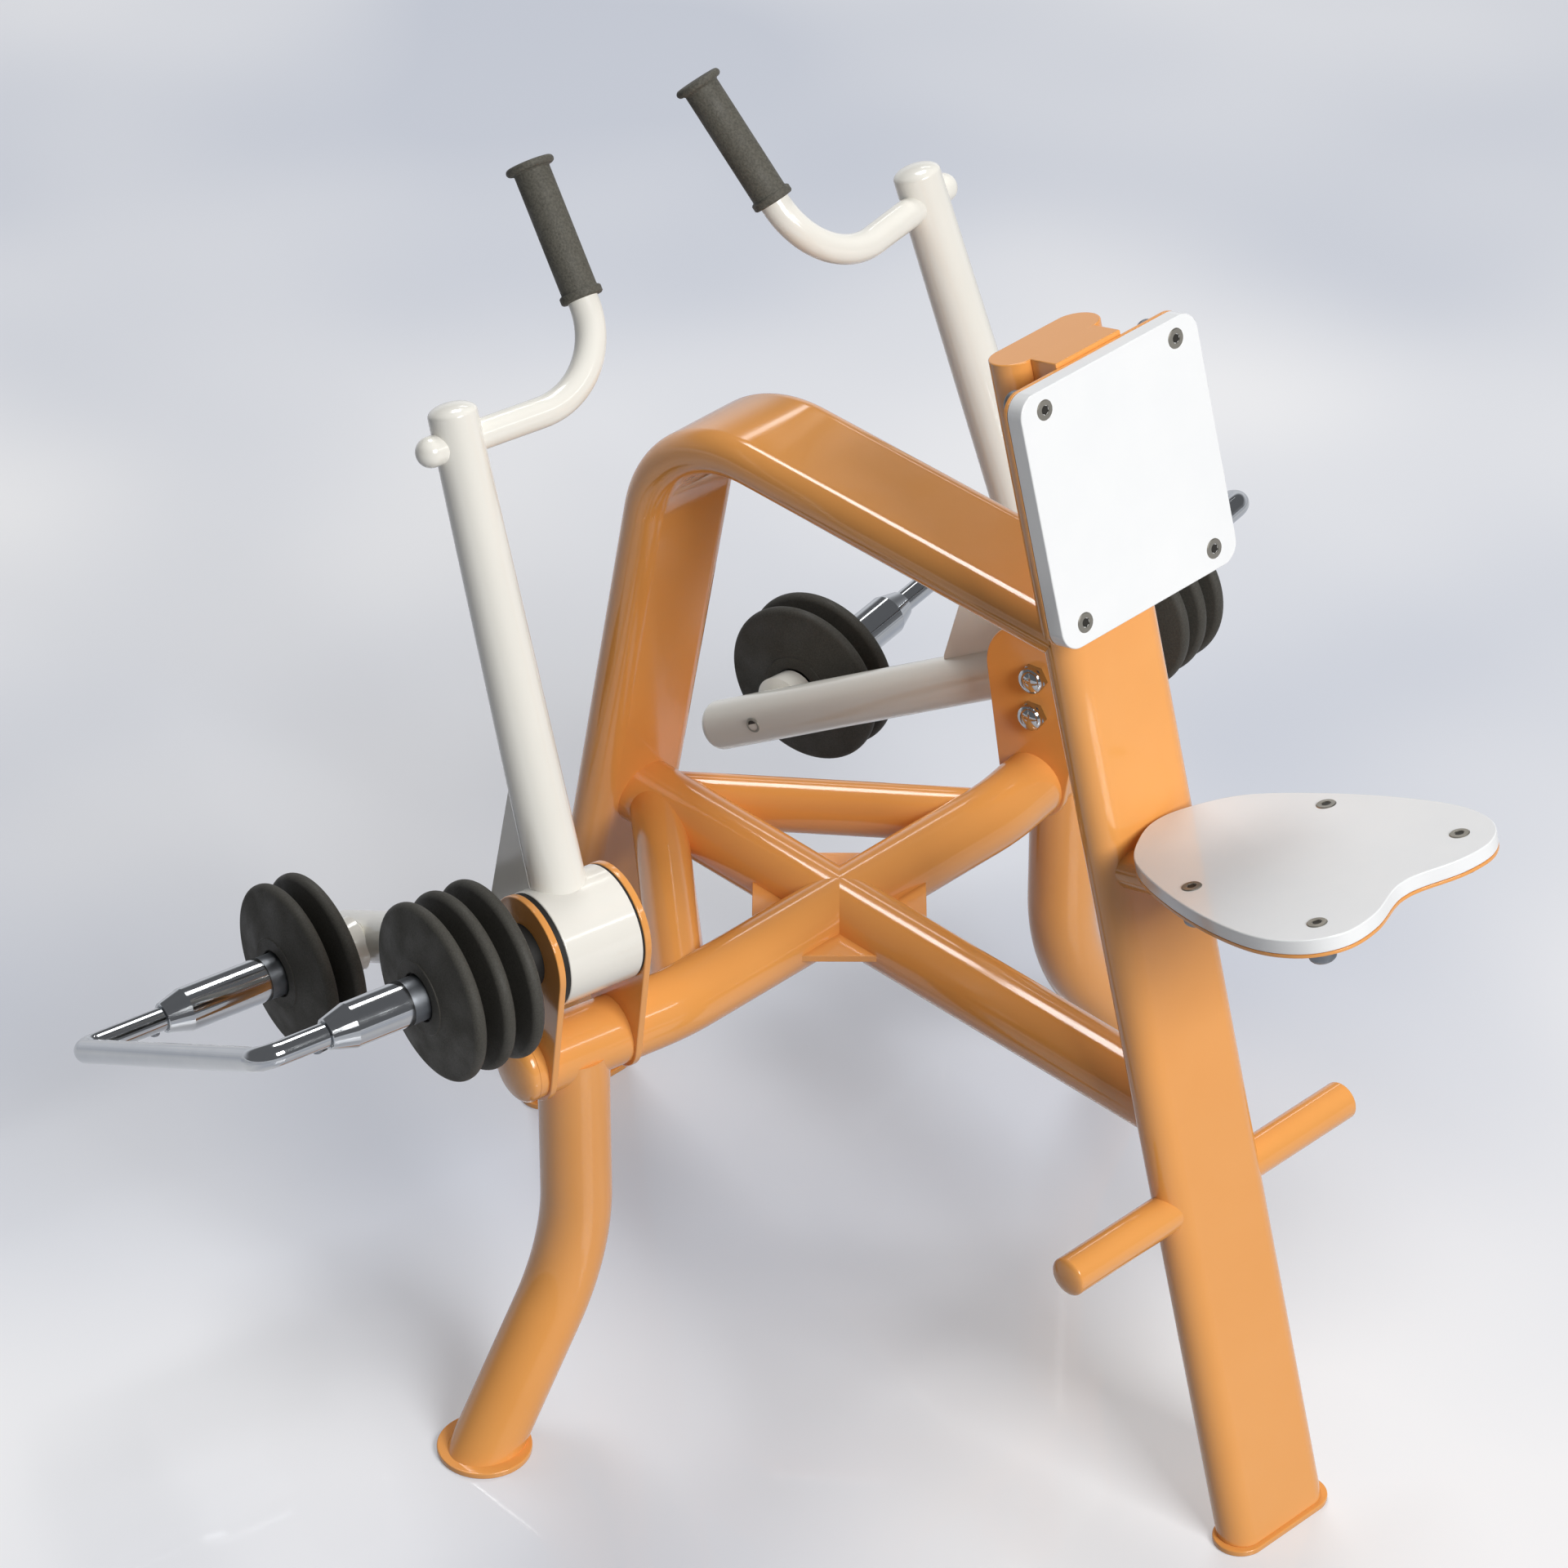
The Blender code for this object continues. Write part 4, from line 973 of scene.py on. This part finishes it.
def make_brackets(side_name, side, pivot):
    """Two plates that carry the axle, with a thin black washer between each and the hub."""
    points = belt_points(bracket_top_radius, bracket_bottom_radius, tube_drop)
    plates = {
        "inner": (inner_bracket_in + inner_bracket_out) / 2,
        "outer": (outer_bracket_in + outer_bracket_out) / 2,
    }
    washers = {
        "inner": (inner_washer_out - inner_washer_thickness, inner_washer_thickness),
        "outer": (outer_washer_in, outer_washer_thickness),
    }
    for name, middle in plates.items():
        shape = bmesh.new()
        slab(shape, pivot @ shift(side * middle) @ across_axle, points, bracket_thickness)
        soften(shape, plate_edge)
        place_name = name + "_" + side_name
        make_frame_piece("bracket_plate_" + place_name, shape, "bracket_" + place_name)
    for name, (start, thickness) in washers.items():
        place = pivot @ outwards(side) @ shift(z=start)
        shape = bmesh.new()
        prism(shape, round_ring(shape, place, washer_radius), up_from(place, thickness))
        place_name = name + "_" + side_name
        make_piece("washer_" + place_name, shape, nylon, "frame", "washer_plastic",
                   "hub_washer_" + place_name)


def add_dome_nut(shape, place):
    """A domed nut: a hexagon against the plate and a dome on it, along the local Z axis."""
    ring = round_ring(shape, place, dome_nut_hexagon, hexagon_sides)
    prism(shape, ring, up_from(place, dome_nut_skirt))
    dome_foot = dome_nut_skirt / 2
    ring = round_ring(shape, place @ shift(z=dome_foot), dome_nut_radius, small_sides)
    close(shape, ring)
    ring = push(shape, ring, up_from(place, dome_nut_skirt))
    dome(shape, ring, up_from(place), dome_nut_height - dome_nut_skirt - dome_foot)


def rod_profile(radius, low, high):
    """The profile of a plain rod between two heights, closed at both ends."""
    return [(0, high), (radius, high), (radius, low), (0, low)]


def make_axle(side_name, side, pivot):
    """The fixed axle with its smooth shaft and collar, and the stop pin, both with domed nuts."""
    inner_face = shift(side * (inner_bracket_in - fit)) @ outwards(-side)
    collar_in = outer_bracket_out + fit
    shape = bmesh.new()
    turned(shape, rod_profile(shaft_radius, collar_in, rear_discs_end - nose_band_inset),
           pivot @ outwards(side))
    add_dome_nut(shape, pivot @ inner_face)
    make_piece("axle_shaft_" + side_name, shape, chrome, "frame", "chrome", "axle_" + side_name,
               crisp=turned_crisp_angle)
    # The collar is given the washers' black nylon: its black is painted shade between the bracket
    # and the inner disc
    shape = bmesh.new()
    collar = [
        (shaft_radius + fit, rear_disc_seat),
        (collar_radius - plate_edge, rear_disc_seat),
        (collar_radius, rear_disc_seat - plate_edge),
        (collar_radius, collar_in),
        (shaft_radius + fit, collar_in),
        (shaft_radius + fit, rear_disc_seat),
    ]
    turned(shape, collar, pivot @ outwards(side))
    make_piece("axle_collar_" + side_name, shape, nylon, "frame", "washer_plastic")
    shape = bmesh.new()
    pin = pivot @ shift(z=-stop_pin_drop)
    add_dome_nut(shape, pin @ inner_face)
    head_top = collar_in + pin_head_height
    head = [
        (0, head_top),
        (pin_head_radius - plate_edge, head_top),
        (pin_head_radius, head_top - plate_edge),
        (pin_head_radius, collar_in),
        (0, collar_in),
    ]
    turned(shape, head, pin @ outwards(side), small_sides)
    make_piece("stop_pin_ends_" + side_name, shape, chrome, "frame", "chrome",
               "stop_pin_" + side_name)


def make_hub(side_name, side, pivot):
    """The lever's drum-shaped hub, welded to the lever tube and the arm."""
    shape = bmesh.new()
    profile = rod_profile(hub_radius, hub_inner_end, hub_outer_end)
    turned(shape, profile, pivot @ outwards(side), disc_sides)
    soften(shape, hub_edge)
    make_lever_piece("hub_drum", shape, side_name, "lever_hub")


def domed_profile(radius, rise, base):
    """Profile points of a domed end, from its tip on the axis down to its rim."""
    points = [(0, base + rise)]
    for step in range(1, dome_steps + 1):
        turn = right_angle * step / dome_steps
        points.append((radius * math.sin(turn), base + rise * math.cos(turn)))
    return points


def make_lever_tube(side_name, pivot):
    """The tapered lever tube with a domed top."""
    shape = bmesh.new()
    profile = domed_profile(lever_top_radius, lever_cap_rise, lever_length)
    profile += [(lever_base_radius, hub_radius / 2), (0, hub_radius / 2)]
    turned(shape, profile, pivot @ leaning(lever_lean))
    make_lever_piece("tapered_lever", shape, side_name, "lever_tube")


def load_place(side, pivot):
    """The front shaft's axis on the arm, laid along the axle's direction."""
    y = load_reach * math.cos(load_drop)
    z = -load_reach * math.sin(load_drop)
    return pivot @ shift(y=y, z=z) @ outwards(side)


def make_arm(side_name, side, pivot):
    """The arm with its domed tip and the boss that carries the front shaft."""
    shape = bmesh.new()
    profile = domed_profile(arm_radius, arm_cap_rise, arm_length - arm_cap_rise)
    profile += [(arm_radius, hub_radius / 2), (0, hub_radius / 2)]
    turned(shape, profile, pivot @ leaning(right_angle + arm_drop) @ shift(y=arm_below_pivot))
    boss = [
        (0, front_disc_seat),
        (boss_top_radius - plate_edge, front_disc_seat),
        (boss_top_radius, front_disc_seat - plate_edge),
        (boss_base_radius, arm_radius - plate_edge),
        (0, 0),
    ]
    turned(shape, boss, load_place(side, pivot))
    make_lever_piece("arm", shape, side_name, "arm_tube")


def make_arm_screw(side_name, side, pivot):
    """The socket screw in the arm's inner side, which holds the front shaft."""
    body = "lever_" + side_name
    inside = load_place(side, pivot) @ shift(z=-arm_radius)
    rim = [
        (arm_socket_radius, -arm_screw_stand),
        (arm_screw_radius, -arm_screw_stand),
        (arm_screw_radius + plate_edge / 2, plate_edge / 2),
    ]
    shape = bmesh.new()
    turned(shape, rim, inside, small_sides)
    make_piece("arm_screw_rim_" + side_name, shape, screw_steel, body, "chrome")
    # The socket's floor is nearly black: painted shade down in the socket
    shape = bmesh.new()
    turned(shape, [(0, 0), (arm_socket_radius, 0)], inside @ shift(z=arm_socket_depth), small_sides)
    make_piece("arm_screw_socket_" + side_name, shape, socket_shade_paint, body, "chrome")


def nose_runs(side, pivot):
    """For each nose, its shaft's axis, where its satin band starts and where its cone starts."""
    return {
        "rear": (pivot @ outwards(side), rear_discs_end + fit, nose_end),
        "front": (load_place(side, pivot), front_discs_end + 2 * fit, front_shaft_end),
    }


def make_load_bar(side_name, side, pivot):
    """Both shafts' chrome noses and the bar bent round between them."""
    noses = nose_runs(side, pivot)
    shape = bmesh.new()
    for place, start, end in noses.values():
        tip = end + nose_cone
        nose = [
            (0, tip - nose_groove),
            (load_bar_radius + fit, tip - nose_groove),
            (load_bar_radius + nose_groove, tip),
            (nose_tip_radius - plate_edge / 2, tip),
            (nose_tip_radius, tip - plate_edge / 2),
            (shaft_radius, end),
            (shaft_radius, start + nose_band_length),
            (0, start + nose_band_length),
        ]
        turned(shape, nose, place)
    rear, front = noses["rear"][0], noses["front"][0]
    corners = [
        rear @ Vector((0, 0, nose_end)),
        rear @ Vector((0, 0, load_bar_out)),
        front @ Vector((0, 0, load_bar_out)),
        front @ Vector((0, 0, front_shaft_end)),
    ]
    ring = round_ring(shape, facing(corners[0], corners[1]), load_bar_radius)
    close(shape, ring)
    close(shape, sweep(shape, ring, corners, [load_bar_bend_radius, load_bar_bend_radius]))
    make_piece("chrome_load_bar_" + side_name, shape, chrome, "lever_" + side_name, "chrome",
               "load_bar_" + side_name, "front_shaft_" + side_name, crisp=turned_crisp_angle)


def make_nose_trim(side_name, side, pivot):
    """The satin band at each nose's foot, and the small pin under each end of the load bar."""
    body = "lever_" + side_name
    noses = nose_runs(side, pivot)
    for name, (place, start, end) in noses.items():
        low = start - nose_band_inset
        high = start + nose_band_length - fit
        shape = bmesh.new()
        turned(shape, rod_profile(shaft_radius - fit, low, high), place)
        make_piece("nose_band_" + name + "_" + side_name, shape, satin_steel, body, "chrome")
    pin_low = -load_bar_radius - bar_pin_height
    pin = [
        (0, pin_low),
        (bar_pin_radius - plate_edge / 2, pin_low),
        (bar_pin_radius, pin_low + plate_edge / 2),
        (bar_pin_radius, 0),
        (0, 0),
    ]
    shape = bmesh.new()
    for place, start, end in noses.values():
        spot = place @ Vector((0, 0, end + nose_cone + bar_pin_out))
        turned(shape, pin, Matrix.Translation(spot), small_sides)
    make_piece("bar_pins_" + side_name, shape, satin_steel, body, "chrome")


def make_front_shaft(side_name, side, pivot):
    """The smooth shaft out of the arm's boss, under the front discs."""
    place, band_start = nose_runs(side, pivot)["front"][:2]
    shaft_end = band_start - nose_band_inset - fit
    shape = bmesh.new()
    turned(shape, rod_profile(shaft_radius, front_disc_seat, shaft_end), place)
    make_piece("front_disc_shaft_" + side_name, shape, chrome, "lever_" + side_name, "chrome")


def grip_profile():
    """A grip's section: a round flange over the bar's end, a straight barrel and a low collar."""
    top = handle_length + grip_top
    flange_low = top - grip_flange_thickness
    collar_top = grip_start + grip_collar_length / 2
    collar_low = grip_start - grip_collar_length / 2
    half = grip_flange_thickness / 2
    rim_centre = (grip_flange_radius - half, top - half)
    return [(0, top)] + arc(rim_centre, half, right_angle, -right_angle, dome_steps) + [
        (grip_radius + plate_edge, flange_low),
        (grip_radius, flange_low - plate_edge),
        (grip_radius, collar_top + plate_edge),
        (grip_radius + plate_edge / 2, collar_top),
        (grip_collar_radius - plate_edge, collar_top),
        (grip_collar_radius, collar_top - plate_edge),
        (grip_collar_radius, collar_low + plate_edge),
        (grip_collar_radius - plate_edge, collar_low),
        (handle_radius + fit, collar_low),
        (handle_radius + fit, collar_low + plate_edge),
        (0, collar_low + plate_edge),
    ]


def make_handle(side_name, side, pivot):
    """The bent handle bar with a ball end through the lever, and the rubber grip on its top."""
    y = handle_height * math.sin(lever_lean)
    z = handle_height * math.cos(lever_lean)
    start = pivot @ Vector((side * handle_outer_end, y, z))
    corner = pivot @ Vector((-side * handle_inner_reach, y, z))
    upper = pivot @ shift(-side * handle_inner_reach, y, z) @ leaning(handle_rise)
    shape = bmesh.new()
    ring = round_ring(shape, facing(start, corner), handle_radius)
    end = upper @ Vector((0, 0, handle_length))
    close(shape, sweep(shape, ring, [start, corner, end], [handle_bend_radius]))
    dome(shape, ring, start - corner, handle_radius)
    make_lever_piece("bent_handle", shape, side_name, "handle_bar")
    shape = bmesh.new()
    turned(shape, grip_profile(), upper)
    make_piece("rubber_grip_" + side_name, shape, grip_rubber, "lever_" + side_name, "grip_rubber",
               "hand_grip_" + side_name)


def make_gusset(side_name, pivot):
    """The flat gusset in the corner between the arm and the lever tube."""
    arm_axis_z = -math.tan(arm_drop) * gusset_low_reach
    points = [
        (0, 0),
        (gusset_low_reach, arm_axis_z),
        (gusset_low_reach, arm_axis_z + arm_radius),
        (gusset_high_reach, gusset_high_rise),
        (math.tan(lever_lean) * gusset_high_rise, gusset_high_rise),
    ]
    shape = bmesh.new()
    slab(shape, pivot @ across_axle, points, gusset_thickness)
    soften(shape, plate_edge / 2, thin_edge_segments)
    make_lever_piece("gusset", shape, side_name, "lever_gusset")


def disc_profile():
    """A disc's section: a round rim, sloped faces, a low raised hub and a recess round the bore."""
    half_rim = disc_rim_thickness / 2
    half_hub = disc_hub_thickness / 2
    slope = math.atan2(disc_face_rise, disc_radius - disc_rim_round - disc_hub_radius)
    edge_height = half_hub - disc_edge
    foot_height = half_rim + disc_face_rise + disc_edge
    recess = [(disc_bore_radius, half_hub - disc_recess_depth),
              (disc_recess_radius, half_hub - disc_recess_depth)]
    recess += arc((disc_recess_radius + disc_edge, edge_height), disc_edge, 2 * right_angle,
                  right_angle, edge_steps)
    hub = arc((disc_hub_radius - disc_edge, edge_height), disc_edge, right_angle, 0, edge_steps)
    foot = arc((disc_hub_radius + disc_edge, foot_height), disc_edge, 2 * right_angle,
               3 * right_angle - slope, edge_steps)
    rim = arc((disc_radius - disc_rim_round, half_rim - disc_rim_round), disc_rim_round,
              right_angle - slope, 0, outline_steps)
    upper = recess + hub + foot + rim
    lower = [(radius, -height) for radius, height in reversed(upper)]
    return upper + lower + upper[:1]


def make_discs(side_name, side, pivot):
    """Three discs on the rear shaft and two on the front one, hub against hub."""
    stacks = (
        ("rear", rear_disc_names, rear_disc_seat + fit, pivot @ outwards(side)),
        ("front", front_disc_names, front_disc_seat + 2 * fit, load_place(side, pivot)),
    )
    for stack, names, seat, place in stacks:
        for index, name in enumerate(names):
            middle = seat + disc_hub_thickness / 2 + index * disc_pitch
            shape = bmesh.new()
            turned(shape, disc_profile(), place @ shift(z=middle), disc_sides)
            body = stack + "_disc_" + name + "_" + side_name
            node = "disc_" + stack + "_" + name + "_" + side_name
            make_piece(body + "_moulded", shape, disc_rubber, body, "disc_rubber", node)


def studio_floor():
    """A pale, faintly polished floor in soft patches of painted light and shade in blue grey, which
    fades into the room.
    """
    material, tree, shader = new_material("pale_studio_floor")
    place = add_node(tree, "ShaderNodeTexCoord").outputs["Object"]
    # Cloudy patches of painted light and shade, well over a metre across
    cloud = add_node(tree, "ShaderNodeTexNoise", {"Scale": per_metre(floor_patch_mm)},
                     {"Vector": place})
    patch = add_node(tree, "ShaderNodeMapRange", {"From Min": floor_patch_start,
                                                  "From Max": floor_patch_full},
                     {"Value": cloud.outputs["Fac"]})
    pale = add_node(tree, "ShaderNodeMix", {"data_type": "RGBA", mix_first: linear(floor_painted_shade),
                                            mix_second: linear(floor_painted_light)},
                    {"Factor": patch.outputs["Result"]})
    # The eye and the polished parts see the floor paler than it lights the object
    ray = add_node(tree, "ShaderNodeLightPath")
    seen = add_node(tree, "ShaderNodeMath", {"operation": "MAXIMUM"},
                    {0: ray.outputs["Is Camera Ray"], 1: ray.outputs["Is Glossy Ray"]})
    colour = add_node(tree, "ShaderNodeMix", {"data_type": "RGBA", mix_first: linear(floor_bounce)},
                      {"Factor": seen.outputs["Value"], mix_second: pale.outputs[mix_result]})
    lift = add_node(tree, "ShaderNodeMath", {"operation": "MULTIPLY", 1: floor_lift},
                    {0: seen.outputs["Value"]})
    tree.links.new(colour.outputs[mix_result], shader.inputs["Base Color"])
    tree.links.new(colour.outputs[mix_result], shader.inputs["Emission Color"])
    tree.links.new(lift.outputs["Value"], shader.inputs["Emission Strength"])
    set_shader(shader, {"Roughness": 0.05, "Specular IOR Level": 0.3})
    # Far off the floor takes the room's colour, so that no horizon shows
    away = add_node(tree, "ShaderNodeVectorMath", {"operation": "LENGTH"}, {0: place})
    far = add_node(tree, "ShaderNodeMapRange", {"interpolation_type": "SMOOTHSTEP",
                                                "From Min": floor_near, "From Max": floor_far},
                   {"Value": away.outputs["Value"]})
    fade = add_node(tree, "ShaderNodeMath", {"operation": "MULTIPLY"},
                    {0: far.outputs["Result"], 1: seen.outputs["Value"]})
    room = add_node(tree, "ShaderNodeEmission", {"Color": linear(room_colour)})
    blend = add_node(tree, "ShaderNodeMixShader", links={"Fac": fade.outputs["Value"],
                                                         1: shader.outputs["BSDF"],
                                                         2: room.outputs["Emission"]})
    tree.links.new(blend.outputs["Shader"], tree.nodes["Material Output"].inputs["Surface"])
    return material


def make_floor():
    """One wide flat square under the machine."""
    shape = bmesh.new()
    bmesh.ops.create_grid(shape, x_segments=1, y_segments=1, size=floor_reach)
    mesh = bpy.data.meshes.new("floor")
    shape.to_mesh(mesh)
    shape.free()
    mesh.materials.append(studio_floor())
    floor = bpy.data.objects.new("floor", mesh)
    bpy.context.scene.collection.objects.link(floor)


def make_room():
    """The room around: plain to the camera, but dim to the machine, with a glow low on one side."""
    world = bpy.data.worlds.new("studio")
    bpy.context.scene.world = world
    world.use_nodes = True
    tree = world.node_tree
    back = tree.nodes["Background"]
    place = add_node(tree, "ShaderNodeTexCoord").outputs["Generated"]
    height = add_node(tree, "ShaderNodeSeparateXYZ", links={"Vector": place})
    low = add_node(tree, "ShaderNodeMapRange", {"interpolation_type": "SMOOTHSTEP",
                                                "From Min": room_glow_top,
                                                "From Max": room_glow_foot},
                   {"Value": height.outputs["Z"]})
    turn = add_node(tree, "ShaderNodeVectorMath", {"operation": "DOT_PRODUCT", 1: room_bright_side},
                    {0: place})
    side = add_node(tree, "ShaderNodeMapRange", {"interpolation_type": "SMOOTHSTEP",
                                                 "From Min": room_side_start,
                                                 "From Max": room_side_full},
                    {"Value": turn.outputs["Value"]})
    glow = add_node(tree, "ShaderNodeMath", {"operation": "MULTIPLY"},
                    {0: low.outputs["Result"], 1: side.outputs["Result"]})
    level = add_node(tree, "ShaderNodeMapRange", {"To Min": room_dark, "To Max": room_bright},
                     {"Value": glow.outputs["Value"]})
    ray = add_node(tree, "ShaderNodeLightPath")
    strength = add_node(tree, "ShaderNodeMix", {mix_float_second: 1.0},
                        {"Factor": ray.outputs["Is Camera Ray"],
                         mix_float_first: level.outputs["Result"]})
    back.inputs["Color"].default_value = linear(room_colour)
    tree.links.new(strength.outputs["Result"], back.inputs["Strength"])


def make_lamps():
    """Soft rectangular lamps that each face a point, some of them for the machine alone."""
    for name, (place, target, size, power, machine_only) in lamps.items():
        lamp = bpy.data.lights.new(name, "AREA")
        lamp.shape = "RECTANGLE"
        lamp.size, lamp.size_y = size
        lamp.energy = power
        holder = bpy.data.objects.new(name, lamp)
        holder.location = place
        direction = Vector(target) - Vector(place)
        holder.rotation_euler = direction.to_track_quat("-Z", "Y").to_euler()
        holder.visible_camera = False
        if machine_only:
            holder.light_linking.receiver_collection = machine
        bpy.context.scene.collection.objects.link(holder)


def make_camera():
    """The camera at the photograph's angle, for a square frame."""
    camera = bpy.data.cameras.new("camera")
    camera.lens = camera_lens
    camera.sensor_width = sensor_width
    holder = bpy.data.objects.new("camera", camera)
    holder.location = camera_place
    holder.rotation_euler = (camera_pitch, 0, camera_heading)
    bpy.context.scene.collection.objects.link(holder)
    bpy.context.scene.camera = holder
    bpy.context.scene.view_settings.view_transform = "Standard"


make_camera()
make_room()
make_lamps()
make_floor()
make_post()
make_foot_plate("post_foot_plate")
make_foot_plate("arch_foot_plate")
make_arch()
make_cross_tube()
make_spines()
make_braces()
make_legs()
make_foot_bar()
make_pad()
make_seat()
for side_name, side in sides.items():
    pivot = toed_place(side, right_pivot.z)
    make_brackets(side_name, side, pivot)
    make_axle(side_name, side, pivot)
    make_hub(side_name, side, pivot)
    make_lever_tube(side_name, pivot)
    make_arm(side_name, side, pivot)
    make_arm_screw(side_name, side, pivot)
    make_load_bar(side_name, side, pivot)
    make_nose_trim(side_name, side, pivot)
    make_front_shaft(side_name, side, pivot)
    make_handle(side_name, side, pivot)
    make_gusset(side_name, pivot)
    make_discs(side_name, side, pivot)
